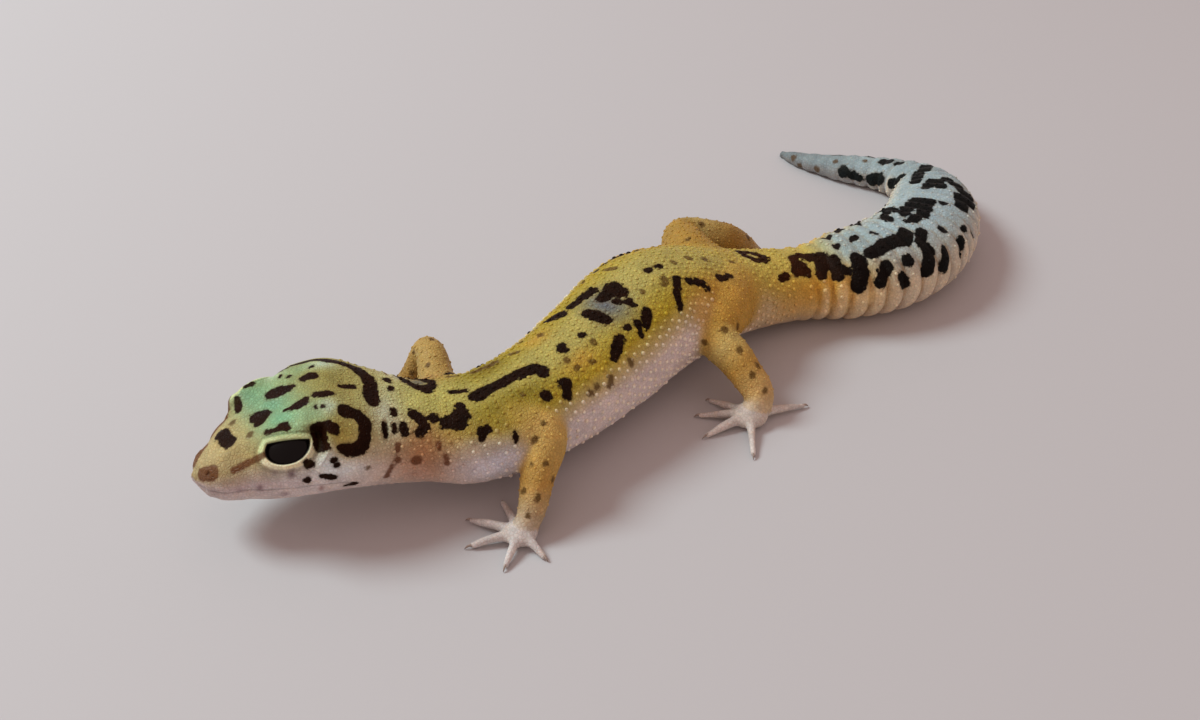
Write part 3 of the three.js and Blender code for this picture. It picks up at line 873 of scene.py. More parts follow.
TRUNK_MARKS = marks(
    Ink.DARK,
    (0.8, (43.8, 80), (44.6, 82, 1.05), (45.6, 85, 0.8), (48.0, 88, 0.6),  # shoulder stripe
     (50.2, 87, 0.65)),
    (0.7, (50.2, 88), (52.4, 87, 0.85), (54.2, 83, 0.85), (55.0, 74, 0.75), (54.6, 70, 0.7)),
    (0.5, (52.0, 83)),
    (0.5, (60.8, 87), (60.3, 82)), (0.45, (64.6, 80)), (0.62, (52.4, 43)),
    (0.7, (56.0, 45), (55.8, 40, 0.5), (55.2, 33, 0.42)),
    (0.4, (65.8, 135), (67.8, 126, 0.7)), (0.7, (70.2, 125), (71.2, 123)),  # big patch of the back
    (0.7, (72.8, 122), (74.8, 117)), (0.8, (73.8, 99), (77.0, 100, 0.9), (76.4, 86, 0.85)),
    (0.75, (75.2, 99), (76.6, 93)), (0.5, (74.2, 82)), (0.45, (75.2, 72), (74.9, 66, 0.3)),
    (0.75, (69.4, 98), (69.6, 86, 0.8), (69.8, 75, 0.75)),
    (0.4, (71.0, 53)), (0.45, (72.6, 49), (72.2, 44, 0.2), (71.6, 39, 0.04)),
    (0.55, (75.4, 51), (73.6, 42, 0.4)),
    (0.6, (68.2, 49), (66.8, 44), (65.0, 39, 0.4)),
    (0.5, (83.6, 85)), (0.45, (85.8, 82)), (0.5, (88.2, 134), (87.0, 136)), (0.4, (86.2, 136), (84.6, 138)),
    (0.35, (83.0, 140)), (0.3, (80.8, 139)),
    (0.45, (86.0, 58), (84.8, 52, 0.38), (83.4, 46, 0.36), (81.3, 33, 0.1)),  # hip
    (0.5, (88.0, 50)), (0.15, (88.0, 49), (90.6, 42)), (0.48, (89.4, 46)),
    (0.52, (90.6, 43), (91.0, 38, 0.3)),
    (0.6, (96.2, 45)), (0.4, (96.0, 44), (98.6, 44)), (0.6, (98.4, 45)),
    (0.35, (106.2, 117), (107.6, 112, 0.4), (109.0, 102, 0.4), (110.0, 88, 0.45)),  # lens on the tail's root
    (0.35, (106.2, 115), (106.4, 98, 0.3), (107.4, 84, 0.35), (109.4, 82, 0.5)),
    bleed=0.08,
)
TRUNK_STAINS = marks(
    Ink.STAIN,
    (0.55, (59.0, 67)), (0.5, (64.6, 64)), (0.5, (61.6, 48)), (0.6, (59.0, 52)), (0.5, (78.6, 69)),
    (0.55, (89.2, 80)), (0.65, (93.2, 82)), (0.65, (96.4, 78)), (0.55, (102.0, 75)),
    (0.6, (80.8, 126), (81.2, 117)),
    (0.5, (77.4, 141)), (0.4, (102.6, 128)), (0.4, (92.0, 130)), (0.42, (67.2, 28), (67.0, 25)),
    (0.45, (62.4, 26), (61.6, 20)), (0.5, (58.4, 25)), (0.45, (59.6, 26)),
    (0.55, (46.8, 136), (49.0, 134), (51.6, 133, 0.6)), (0.4, (41.0, 143), (42.4, 141)),
    (0.45, (54.6, 130), (55.6, 127)),
    (0.4, (59.2, 143)), (0.4, (63.6, 143)), (0.55, (61.6, 124)), (0.5, (84.0, 66), (83.0, 60)),
    (0.35, (49.6, 56)),
)
TAIL_MARKS = marks(
    Ink.DARK,
    (0.3, (110.8, 40), (112.0, 45)),
    (0.5, (114.4, 50), (115.0, 66), (115.2, 84), (116.8, 87), (118.4, 78, 0.7)),
    (0.6, (115.4, 64), (116.2, 49)), (0.8, (120.2, 75), (119.6, 58, 0.75), (119.0, 41, 0.6)),
    (0.85, (121.8, 57), (121.8, 34, 0.65)), (0.5, (121.8, 44), (123.6, 38, 0.3)),
    (1.0, (125.6, 52), (125.4, 32, 1.2), (124.6, 16, 0.9)),
    (0.9, (128.2, 54), (132.0, 64, 1.1), (135.2, 62, 1.3), (136.8, 72, 1.0)),
    (0.85, (129.6, 32), (128.2, 17)), (0.8, (133.4, 32)), (0.65, (131.8, 16), (132.2, 7)),
    (0.7, (139.0, 59), (137.2, 47, 0.8), (137.4, 33, 1.1), (135.8, 14, 0.8)),
    (0.65, (140.0, 24), (138.8, 9)), (0.5, (144.6, 21), (143.2, 10, 0.4)), (0.35, (149.0, 15)),
    (0.3, (147.6, 28)),
    (0.9, (145.0, 115), (149.8, 115, 1.2), (150.8, 94, 1.0)), (1.1, (149.6, 96), (143.8, 84, 0.8)),  # middle
    (0.7, (143.8, 84), (140.2, 89)), (1.0, (147.4, 104), (145.4, 118, 0.8)),
    (0.6, (138.2, 126), (137.8, 115)),
    (0.5, (145.6, 154), (143.0, 123, 0.6), (142.6, 108, 0.7)), (0.35, (143.6, 140), (138.2, 126)),
    (0.65, (132.4, 147), (131.8, 140)), (0.6, (128.0, 143), (127.4, 136)), (0.5, (123.6, 122)),
    (0.5, (127.4, 94)), (0.4, (123.6, 88)), (0.35, (131.6, 94)), (0.55, (151.4, 70)), (0.62, (143.0, 46)),
    (1.0, (161.0, 49), (159.0, 33, 1.2), (155.8, 32, 1.1)), (1.0, (152.6, 42), (156.8, 46)),  # bend
    (0.6, (157.6, 110), (162.0, 96, 0.8), (164.0, 61, 0.9), (161.8, 48, 1.0)),
    (0.8, (159.4, 82), (161.0, 84)),
    (0.6, (162.0, 129), (168.8, 121, 0.8), (172.8, 73, 0.7), (173.0, 40, 0.5)),
    (0.9, (189.6, 173)), (0.6, (187.6, 182), (186.0, 187, 0.4)), (0.85, (183.4, 184), (180.6, 174)),
    (0.7, (176.2, 174), (175.0, 170)), (0.4, (174.4, 160), (173.6, 150)),
    (0.7, (181.8, 99), (181.0, 97)), (0.65, (178.4, 93)),
    bleed=0.14,
)
TAIL_STAINS = marks(
    Ink.STAIN,
    (0.6, (114.2, 47)), (0.6, (116.4, 45)), (0.5, (186.0, 106)), (0.5, (191.8, 134)), (0.4, (172.6, 141)),
    (0.62, (201.4, 164)), (0.6, (195.4, 194)), (0.55, (199.4, 207)),
)
FAR_SIDE_MARKS = marks(
    Ink.DARK,
    (0.8, (19.2, 158), (21.2, 158)), (0.9, (19.6, 163), (19.2, 168)),
    (0.7, (26.4, 158), (27.6, 164), (25.6, 168)),
    (0.4, (15.6, 172)), (0.4, (21.2, 174), (21.8, 178)), (0.35, (17.4, 184)),
    (0.4, (24.0, 190), (25.2, 192)),
    (0.5, (34.6, 166), (35.0, 172)), (0.45, (37.6, 160), (37.8, 168)), (0.42, (36.2, 180), (36.4, 186)),
    (0.6, (40.8, 158), (42.0, 162)), (0.5, (44.0, 168), (44.2, 174)), (0.7, (49.4, 156), (52.4, 160)),
    (0.6, (54.8, 160), (57.0, 162)), (0.5, (57.6, 170), (57.8, 176)), (0.6, (64.4, 162), (65.0, 168)),
    (0.5, (67.8, 172), (68.2, 178)), (0.65, (71.6, 160), (72.0, 168)), (0.55, (75.4, 168), (75.8, 174)),
    (0.6, (79.8, 162), (80.2, 170)), (0.6, (86.2, 168), (86.0, 176)), (0.6, (92.6, 160), (94.6, 164)),
    (0.6, (98.6, 160), (99.6, 156)), (0.55, (106.6, 158), (107.6, 154)), (0.6, (113.4, 160), (114.0, 168)),
    (0.8, (118.2, 160), (118.6, 170)), (0.9, (124.0, 162), (124.4, 176)), (0.8, (129.4, 164), (131.0, 170)),
    (0.8, (134.2, 170), (134.6, 184)), (1.0, (140.6, 172), (142.6, 178)), (0.7, (148.6, 166), (149.4, 174)),
    (0.6, (154.6, 172), (155.2, 180)), (0.7, (160.6, 176), (161.0, 184)),
    (0.8, (177.0, 28), (179.0, 34)), (0.7, (184.0, 38), (185.6, 42)),
    (0.6, (166.0, 16), (166.6, 8)), (0.6, (192.0, 40), (193.0, 44)),
)
BODY_MARKS = (*HEAD_MARKS, *HEAD_STAINS, *RUST_MARKS, *NECK_MARKS, *TRUNK_MARKS, *TRUNK_STAINS, *TAIL_MARKS,
              *TAIL_STAINS, *FAR_SIDE_MARKS)


@dataclass(frozen=True)
class LegMark:
    """A spot on a leg: share of the leg passed, angle round it from its far side upwards, half width."""

    limb: str
    share: float
    angle: float
    half_width: float
    ink: Ink = Ink.STAIN

    def ball(self, limb: Limb) -> np.ndarray:
        """The spot as one ball on the leg's skin."""
        chain = limb.leg_chain()
        index = round(self.share * (len(chain) - 1))
        across, upward = limb.axes_at(chain, index)
        turn = math.radians(self.angle)
        out = across * math.cos(turn) + upward * math.sin(turn)
        middle = chain[index, :3] + out * chain[index, 3]
        return np.array([[*middle, self.half_width]])


# Spots of each leg: share passed, angle and half width.
LEG_SPOTS: dict[str, Rows] = {
    "front_left": (
        (0.48, 62, 0.5), (0.59, 120, 0.42), (0.62, 78, 0.3), (0.76, 52, 0.45), (0.79, 114, 0.42),
        (0.89, 108, 0.3), (0.40, 76, 0.35), (0.52, 10, 0.4), (0.7, -40, 0.4), (0.66, 170, 0.4),
    ),
    "front_right": (
        (0.55, 140, 0.45), (0.33, 115, 0.42), (0.67, 135, 0.4), (0.48, 75, 0.4), (0.75, 60, 0.4),
        (0.86, 90, 0.35),
    ),
    "hind_left": (
        (0.63, 80, 0.55), (0.74, 108, 0.5), (0.51, 86, 0.6), (0.77, 66, 0.5), (0.60, 160, 0.5),
        (0.42, 170, 0.5), (0.86, 92, 0.4), (0.5, 20, 0.5),
    ),
    "hind_right": (
        (0.21, 104, 0.42), (0.3, 60, 0.42), (0.46, 20, 0.5), (0.56, 70, 0.55), (0.66, 120, 0.5),
        (0.8, 60, 0.45),
    ),
}
LEG_MARKS = tuple(LegMark(limb, *spot) for limb, spots in LEG_SPOTS.items() for spot in spots)

# Ground colours from snout to tail: distance, then back, flank, low flank and belly.
GROUND: tuple[tuple[float, Rows], ...] = (
    (0, ((180, 164, 118), (172, 152, 112), (200, 184, 180), (200, 184, 178))),
    (8, ((184, 168, 110), (170, 154, 102), (208, 194, 192), (224, 208, 200))),
    (14, ((160, 178, 128), (160, 164, 118), (222, 212, 210), (230, 216, 210))),
    (22, ((152, 146, 82), (160, 152, 82), (220, 210, 206), (232, 218, 212))),
    (30, ((186, 186, 120), (180, 172, 126), (208, 190, 174), (230, 214, 206))),
    (36, ((178, 172, 94), (168, 138, 80), (190, 154, 124), (222, 206, 200))),
    (44, ((178, 170, 88), (166, 148, 50), (210, 204, 206), (234, 222, 218))),
    (60, ((178, 168, 90), (172, 150, 36), (226, 214, 208), (238, 226, 222))),
    (80, ((178, 168, 92), (172, 150, 36), (226, 214, 210), (238, 226, 222))),
    (95, ((180, 166, 84), (172, 142, 50), (214, 194, 152), (228, 214, 206))),
    (110, ((186, 166, 76), (194, 168, 74), (212, 176, 106), (216, 196, 166))),
    (118, ((188, 172, 88), (204, 174, 78), (216, 172, 86), (212, 190, 156))),
    (124, ((160, 180, 178), (200, 184, 134), (220, 184, 116), (212, 190, 160))),
    (132, ((164, 188, 192), (180, 184, 172), (210, 194, 164), (210, 194, 178))),
    (150, ((164, 188, 194), (164, 184, 186), (200, 200, 192), (204, 196, 190))),
    (185, ((156, 178, 182), (156, 174, 178), (168, 174, 174), (170, 170, 170))),
    (205, ((120, 132, 134), (120, 132, 134), (126, 130, 130), (128, 130, 130))),
)
GROUND_ANGLES = (25.0, 58.0, 86.0, 128.0)  # from the middle of the back
INKS: tuple[tuple[float, Rows], ...] = (
    (0, ((32, 15, 5),)), (30, ((30, 14, 5),)), (40, ((26, 13, 6),)), (85, ((26, 13, 5),)),
    (104, ((38, 18, 4),)), (115, ((44, 20, 5),)), (124, ((20, 15, 12),)), (145, ((16, 18, 18),)),
    (205, ((30, 36, 36),)),
)
LEG_COLOURS: dict[bool, tuple[tuple[float, tuple[float, float, float]], ...]] = {
    False: ((0.0, (200, 168, 92)), (0.45, (204, 172, 96)), (0.7, (190, 150, 74)), (0.88, (186, 164, 126)),
            (1.0, (210, 204, 198)), (2.0, (214, 209, 205))),
    True: ((0.0, (190, 150, 66)), (0.42, (196, 156, 66)), (0.56, (200, 176, 104)), (0.7, (188, 148, 70)),
           (0.86, (206, 174, 114)), (1.0, (206, 198, 188)), (2.0, (214, 208, 202))),
}
UPPER_LID, LOWER_LID = (206, 224, 166), (232, 230, 192)
# painted highlight for the tail rings' crests, and warm painted shade for their valleys
RING_CREST_HIGHLIGHT, RING_VALLEY_SHADE = (250, 232, 196), (176, 112, 44)
PALE_FLANK, PALE_RING = (236, 226, 206), (224, 216, 190)


@dataclass(frozen=True)
class Wash:
    """A soft patch of another ground colour."""

    along: float
    angle: float
    spread: float
    turn: float
    strength: float
    colour: tuple[float, float, float]

    def share(self, along: np.ndarray, degrees: np.ndarray) -> np.ndarray:
        """How much of the wash lies at each place; low ones lie on both sides."""
        middles = (self.angle, 180 - self.angle) if self.angle < 60 else (self.angle,)
        total = np.zeros(len(along))
        for middle in middles:
            away = turn_between(degrees, middle) / self.turn
            total = np.maximum(total, np.exp(-(((along - self.along) / self.spread) ** 2) - away**2))
        return total * self.strength


KNEE = Wash(86.2, 24, 2.8, 15, 0.92, (208, 170, 98))
GREEN, MINT, CREAM, PALE_BLUE = (122, 180, 138), (196, 220, 198), (194, 200, 174), (224, 234, 234)
WASHES: tuple[Wash, ...] = (
    Wash(20.5, 110, 4.2, 40, 0.7, (150, 144, 78)),
    Wash(11.5, 132, 3.0, 24, 0.9, GREEN), Wash(13.0, 98, 3.4, 24, 0.85, GREEN),
    Wash(13.5, 62, 3.6, 20, 0.9, GREEN), Wash(18.5, 52, 3.2, 14, 0.6, (136, 176, 132)),
    Wash(13.0, 46, 3.0, 9, 0.5, (150, 180, 124)),
    Wash(21.5, 55, 1.8, 10, 0.75, MINT), Wash(15.8, 140, 1.4, 9, 0.7, MINT),
    Wash(19.2, 8, 4.2, 11, 0.95, (236, 250, 250)), Wash(24.0, 4, 2.6, 8, 0.7, PALE_BLUE),
    Wash(23.5, 30, 2.4, 12, 0.8, (180, 166, 82)),
    Wash(30.0, 60, 2.2, 22, 0.85, CREAM), Wash(31.5, 38, 1.6, 14, 0.8, CREAM),
    Wash(30.0, 96, 1.8, 26, 0.5, (192, 196, 154)),
    Wash(35.0, 18, 3.1, 20, 0.7, (178, 128, 86)), Wash(34.0, -6, 3.0, 16, 0.5, (186, 144, 124)),
    Wash(43.8, 2, 4.0, 17, 0.95, (224, 226, 238)), Wash(42.0, 20, 2.2, 9, 0.6, (196, 186, 170)),
    Wash(48.0, 54, 5.4, 17, 0.85, (122, 106, 16)), Wash(60.0, 58, 3.0, 12, 0.5, (194, 144, 54)),
    Wash(93.0, 32, 6.0, 18, 0.7, (204, 154, 64)), KNEE, Wash(106.0, 0, 2.6, 26, 0.6, (214, 196, 160)),
    Wash(119.0, 27, 6.0, 18, 0.8, (216, 160, 56)),
    Wash(35.2, 126, 1.5, 11, 0.85, (98, 100, 94)), Wash(72.2, 90, 3.0, 28, 0.95, (98, 104, 110)),
    Wash(7.8, -1, 0.6, 5, 0.7, (130, 104, 110)), Wash(4.8, 0, 0.5, 5, 0.5, (140, 116, 120)),
    Wash(11.0, -15, 0.6, 5, 0.55, (140, 112, 116)), Wash(12.1, 11, 0.6, 4, 0.75, (104, 84, 88)),
    Wash(10.0, 15, 0.4, 3, 0.4, (140, 122, 124)), Wash(16.6, -13, 0.6, 4, 0.6, (136, 84, 76)),
    Wash(106.6, 104, 1.0, 16, 0.7, (140, 132, 62)),
    Wash(107.0, 90, 1.6, 14, 0.5, (184, 178, 124)),
)


def tone(rows: tuple[tuple[float, Rows], ...], places: np.ndarray, column: int) -> np.ndarray:
    """Read one column of screen colours along the body, smoothly.

    Args:
        rows: Distances with their colours.
        places: Distances from the snout.
        column: Which colour of each row.

    Returns:
        Screen colours, three values each.
    """
    at = [row[0] for row in rows]
    return np.stack([np.interp(places, at, [row[1][column][i] for row in rows]) for i in range(3)], 1)


# ---------------------------------------------------------------- skin


@dataclass
class Flesh:
    """The whole animal as one smooth form, with its relief, lids and colours."""

    body: BodyForm = field(default_factory=BodyForm)
    limbs: tuple[Limb, ...] = LIMBS
    fillet: float = 1.6
    floor: float = 0.02
    ink_reach: float = 3.5  # distances to a mark are worked out this far from it
    unmarked: float = 5.0

    def __post_init__(self) -> None:
        """Set the eyes and the relief on the body."""
        self.relief = Relief(self.body)
        self.eyes = {side: Eye(self.body, side == "left") for side in ("left", "right")}

    def near_limb(self, limb: Limb, points: np.ndarray, margin: float = 4.0) -> np.ndarray:
        """Indices of the points close to a leg."""
        low, high = limb.box(margin)
        return np.flatnonzero(((points > low) & (points < high)).all(1))

    def distance(self, points: np.ndarray) -> np.ndarray:
        """Distance from points out of the joined form."""
        out = self.body.place(points)["out"]
        for limb in self.limbs:
            near = self.near_limb(limb, points)
            out[near] = blend_near(out[near], limb.distance(points[near])["out"], self.fillet)
        return out

    def normals(self, points: np.ndarray) -> np.ndarray:
        """Outward unit vectors of the joined form."""
        here = self.distance(points)
        step = 0.02
        slope = np.stack([self.distance(points + step * axis) - here for axis in np.eye(3)], 1)
        return slope / np.maximum(np.linalg.norm(slope, axis=1, keepdims=True), 1e-9)

    def settle(self, points: np.ndarray, passes: int = 2) -> np.ndarray:
        """Move points onto the joined form."""
        for _ in range(passes):
            points = points - self.normals(points) * np.clip(self.distance(points), -0.5, 0.5)[:, None]
        return points

    def leg_shares(self, points: np.ndarray) -> list[dict[str, np.ndarray]]:
        """For each leg: how much of each point belongs to it, and how far down the leg it is."""
        body_out = self.body.place(points)["out"]
        shares = []
        for limb in self.limbs:
            near = self.near_limb(limb, points)
            found = limb.distance(points[near])
            share, down = np.zeros(len(points)), np.zeros(len(points))
            share[near] = ease(body_out[near] - found["out"], -1.6, 1.6)
            down[near] = found["down"]
            shares.append({"share": share, "down": down})
        return shares

    def dress(self, points: np.ndarray) -> dict[str, np.ndarray]:
        """Give settled points their relief and colours.

        Args:
            points: Points of the joined form.

        Returns:
            points: the finished places, and one array for each of the finish's attributes.
        """
        legs = self.leg_shares(points)
        leg = np.max([row["share"] for row in legs], axis=0)
        place = self.body.place(points)
        normals = self.normals(points)
        height = self.relief.height(place, points) * (1 - leg)
        slack = self.relief.loose_skin(points) * ease(place["along"], 26, 40)
        moved = points + normals * height[:, None]
        moved += slack[:, None] * normals
        edge = np.full(len(points), FAR)
        made = self.colours(points, place, legs)
        head = np.flatnonzero(place["along"] < 30)
        for eye in self.eyes.values():
            shaped = eye.shape(moved[head])
            moved[head] = shaped["points"]
            edge[head] = np.minimum(edge[head], shaped["edge"])
            upper = shaped["upper"][:, None]
            rim = to_linear(np.array(UPPER_LID)) * upper + to_linear(np.array(LOWER_LID)) * (1 - upper)
            share = 0.92 * shaped["rim"][:, None]
            made["ground"][head] = made["ground"][head] * (1 - share) + rim * share
        moved[:, 2] = np.maximum(moved[:, 2], self.floor)
        return {"points": moved, "lid": edge, **made}

    def colours(self, points: np.ndarray, place: dict[str, np.ndarray], legs: list[dict[str, np.ndarray]]
                ) -> dict[str, np.ndarray]:
        """Work out what the finish needs to know at each point.

        Args:
            points: Points of the joined form.
            place: Where they lie on the body.
            legs: Shares of each leg.

        Returns:
            ground and ink colours, distances to dark, stain and rust marks, the painted shade of the creases,
            and foot and belly values.
        """
        along, degrees = place["along"], place["degrees"]
        from_back = np.abs(turn_between(degrees, 90))
        columns = np.stack([tone(GROUND, along, i) for i in range(len(GROUND_ANGLES))])
        higher = 9 * ease(along, 46, 58) * (1 - ease(along, 86, 98))  # the pale belly climbs the flanks
        level = np.interp(from_back + higher, GROUND_ANGLES, range(len(GROUND_ANGLES)))
        first = np.minimum(level.astype(int), len(GROUND_ANGLES) - 2)
        index = np.arange(len(points))
        share = (level - first)[:, None]
        ground = columns[first, index] * (1 - share) + columns[first + 1, index] * share
        for wash in WASHES:
            weight = wash.share(along, degrees)[:, None]
            ground = ground * (1 - weight) + np.array(wash.colour) * weight
        for limb, row in zip(self.limbs, legs):
            stops = LEG_COLOURS[limb.hind]
            at, shades = zip(*stops)
            # a shade under 1 darkens the leg's colours as painted shade
            tint = limb.shade * np.stack([np.interp(row["down"], at, part) for part in zip(*shades)], 1)
            ground = ground * (1 - row["share"][:, None]) + tint * row["share"][:, None]
        marked = self.mark_distances(points)
        leg = np.max([row["share"] for row in legs], axis=0)
        foot = np.max([row["share"] * ease(row["down"], 0.8, 1.05) for row in legs], axis=0)
        # Painted shade in the creases: the mouth line, the insides of the nostrils and ear openings, and the
        # valleys of the tail's rings.
        crease_shade = np.exp(-((self.relief.mouth.above(points) / 0.16) ** 2)) * (along < 26)
        crease_shade *= 0.5 - 0.5 * ease(self.relief.mouth.along(points), 20, 22.5)
        crease_shade = np.maximum(crease_shade, 0.45 - 0.45 * ease(NOSTRIL.distance(self.body, points), 0.4, 1.1))
        crease_shade = np.maximum(crease_shade, 1 - ease(EAR.distance(self.body, points), 0.6, 1.1))
        # Painted light on the tail's rings: a painted highlight on the crests of the lower sides, and warm
        # painted shade in the valleys.
        rings = self.relief.tail_rings(along, degrees) * (1 - leg)
        low = ease(from_back, 45, 80) * ease(along, 110, 118)
        crest, valley = ease(rings, 0.12, 0.4)[:, None], ease(-rings, 0.05, 0.35)[:, None]
        for share, tint in ((0.45 * crest * low[:, None], RING_CREST_HIGHLIGHT), (0.32 * valley, RING_VALLEY_SHADE)):
            ground = ground * (1 - share) + np.array(tint) * share
        crease_shade = np.maximum(crease_shade, 0.14 * valley[:, 0] * ease(from_back, 35, 80))
        return {
            "ground": to_linear(ground), "ink": to_linear(tone(INKS, along, 0)), **marked,
            "crease_shade": crease_shade, "foot": foot, "belly": ease(from_back, 105, 135) * (1 - leg),
        }

    def mark_distances(self, points: np.ndarray) -> dict[str, np.ndarray]:
        """Distance from each point to the nearest mark in each ink."""
        found = {ink: np.full(len(points), self.unmarked) for ink in Ink}
        by_name = {limb.name: limb for limb in self.limbs}
        chains = [(mark.ink, mark.chain(self.body)) for mark in BODY_MARKS]
        chains += [(mark.ink, mark.ball(by_name[mark.limb])) for mark in LEG_MARKS]
        for ink, chain in chains:
            low, high = chain[:, :3].min(0) - self.ink_reach, chain[:, :3].max(0) + self.ink_reach
            near = np.flatnonzero(((points > low) & (points < high)).all(1))
            away, _ = chain_distance(points[near], chain)
            found[ink][near] = np.minimum(found[ink][near], away)
        return {ink.value: away for ink, away in found.items()}


@dataclass
class Skin:
    """One unbroken skin over the head, trunk, tail and legs."""

    flesh: Flesh
    pitch: float = 0.5
    margin: float = 2.0
    top: float = 21.0  # no flesh is higher
    cut: float = 3.0  # distances are worked out this far from the surface
    leg_room: float = 3.5
    head_end: float = 31.0
    foot_start: float = 0.93
    eye_room: float = 4.8

    def shell(self) -> tuple[np.ndarray, np.ndarray]:
        """Cut the joined form's surface into even quads.

        Returns:
            Points, and four indices for each face, turned outward.
        """
        body = self.flesh.body
        ring = body.ring(np.linspace(0, body.length, 300))
        plan = np.stack([ring["x"], ring["y"]], 1)
        boxes = [limb.box(self.margin) for limb in self.flesh.limbs]
        half = ring["half"].max() + self.margin
        low = np.min([*(box[0] for box in boxes), [*(plan.min(0) - half), -self.margin]], axis=0)
        high = np.max([*(box[1] for box in boxes), [*(plan.max(0) + half), self.top + self.margin]],
                      axis=0)
        axes = [np.arange(start, end, self.pitch) for start, end in zip(low, high)]
        x, y = (part.ravel() for part in np.meshgrid(axes[0], axes[1], indexing="ij"))
        along, past = body.nearest(x, y)
        out = body.measure(along[:, None], past[:, None], x[:, None], y[:, None], axes[2][None, :])["out"]
        out = out.reshape([len(axis) for axis in axes])
        for limb in self.flesh.limbs:
            room = limb.box(self.leg_room)
            start, end = (np.round((corner - low) / self.pitch).astype(int) for corner in room)
            start = np.maximum(start, 0)
            part = tuple(slice(a, b) for a, b in zip(start, end))
            grid = np.stack(np.meshgrid(*(axis[s] for axis, s in zip(axes, part)), indexing="ij"), -1)
            leg = limb.distance(grid.reshape(-1, 3))["out"].reshape(grid.shape[:3])
            out[part] = blend_near(out[part], leg, self.flesh.fillet)
        volume = openvdb.FloatGrid(self.cut)
        volume.copyFromArray(np.clip(out, -self.cut, self.cut).astype(np.float32))
        points, faces = volume.convertToQuads(isovalue=0.0)
        points = points * self.pitch + low
        first, second, third = (points[faces[:, i]] for i in range(3))
        if np.einsum("ij,ij->i", first, np.cross(second, third)).sum() < 0:
            faces = faces[:, ::-1]
        return points, faces

    def refine(self, points: np.ndarray, faces: np.ndarray) -> tuple[np.ndarray, list[list[int]]]:
        """Make the mesh finer on the head and feet, and finest round the eyes."""
        mesh = bmesh.new()
        for point in points:
            mesh.verts.new(point)
        mesh.verts.ensure_lookup_table()
        for face in faces:
            mesh.faces.new([mesh.verts[i] for i in face])
        for pick in (self._fine, self._finest):
            picked = pick(np.array([vertex.co for vertex in mesh.verts]))
            mesh.verts.index_update()
            edges = [e for e in mesh.edges if picked[e.verts[0].index] and picked[e.verts[1].index]]
            bmesh.ops.subdivide_edges(mesh, edges=edges, cuts=1, use_grid_fill=True)
        bmesh.ops.triangulate(mesh, faces=[face for face in mesh.faces if len(face.verts) > 4])
        mesh.verts.index_update()
        points = np.array([vertex.co for vertex in mesh.verts])
        faces = [[vertex.index for vertex in face.verts] for face in mesh.faces]
        mesh.free()
        return points, faces

    def _fine(self, points: np.ndarray) -> np.ndarray:
        """Which points lie on the head or a foot."""
        place = self.flesh.body.place(points)
        upper = np.abs(turn_between(place["degrees"], 90)) < 130
        picked = (place["along"] < self.head_end) & (place["out"] < 2) & upper
        for row in self.flesh.leg_shares(points):
            picked |= (row["down"] > self.foot_start) & (row["share"] > 0.5)
        return picked

    def _finest(self, points: np.ndarray) -> np.ndarray:
        """Which points lie round an eye."""
        away = [np.linalg.norm(points - eye.middle, axis=1) for eye in self.flesh.eyes.values()]
        return np.min(away, axis=0) < self.eye_room

    def build(self, finish: "SkinFinish") -> bpy.types.Object:
        """Make the skin as one mesh with its attributes."""
        points, faces = self.refine(*self.shell())
        made = self.flesh.dress(self.flesh.settle(points))
        return mesh_piece("skin", made, faces, finish.material())


def mesh_piece(name: str, made: dict[str, np.ndarray], faces: list, material: bpy.types.Material
               ) -> bpy.types.Object:
    """Make one smooth mesh piece with attributes.

    Args:
        name: The piece's name.
        made: points in millimetres, and attributes of one or three values.
        faces: Indices of each face's corners.
        material: The piece's finish.

    Returns:
        The piece, in the scene.
    """
    mesh = bpy.data.meshes.new(name)
    mesh.from_pydata((made["points"] * MM).tolist(), [], faces)
    for key, values in made.items():
        if key == "points":
            continue
        if values.ndim == 2:
            layer = mesh.attributes.new(key, "FLOAT_COLOR", "POINT")
            layer.data.foreach_set("color", np.column_stack([values, np.ones(len(values))]).ravel())
        else:
            mesh.attributes.new(key, "FLOAT", "POINT").data.foreach_set("value", values)
    mesh.shade_smooth()
    mesh.materials.append(material)
    return to_scene(name, mesh)


# ---------------------------------------------------------------- tubercles


@dataclass(frozen=True)
class Band:
    """Rings of tubercles over one stretch of the body."""

    start: float
    end: float
    pitch: float
    size: float
    reach: float  # degrees round from the middle of the back
    spread: float  # room for each one, as a share of the usual spacing
    shrink: float = 0.0  # loss of size with each millimetre

    def rings(self) -> Rows:
        """Place, size, reach and spread of each ring."""
        return tuple((at, self.size - self.shrink * (at - self.start), self.reach, self.spread)
                     for at in np.arange(self.start, self.end, self.pitch))


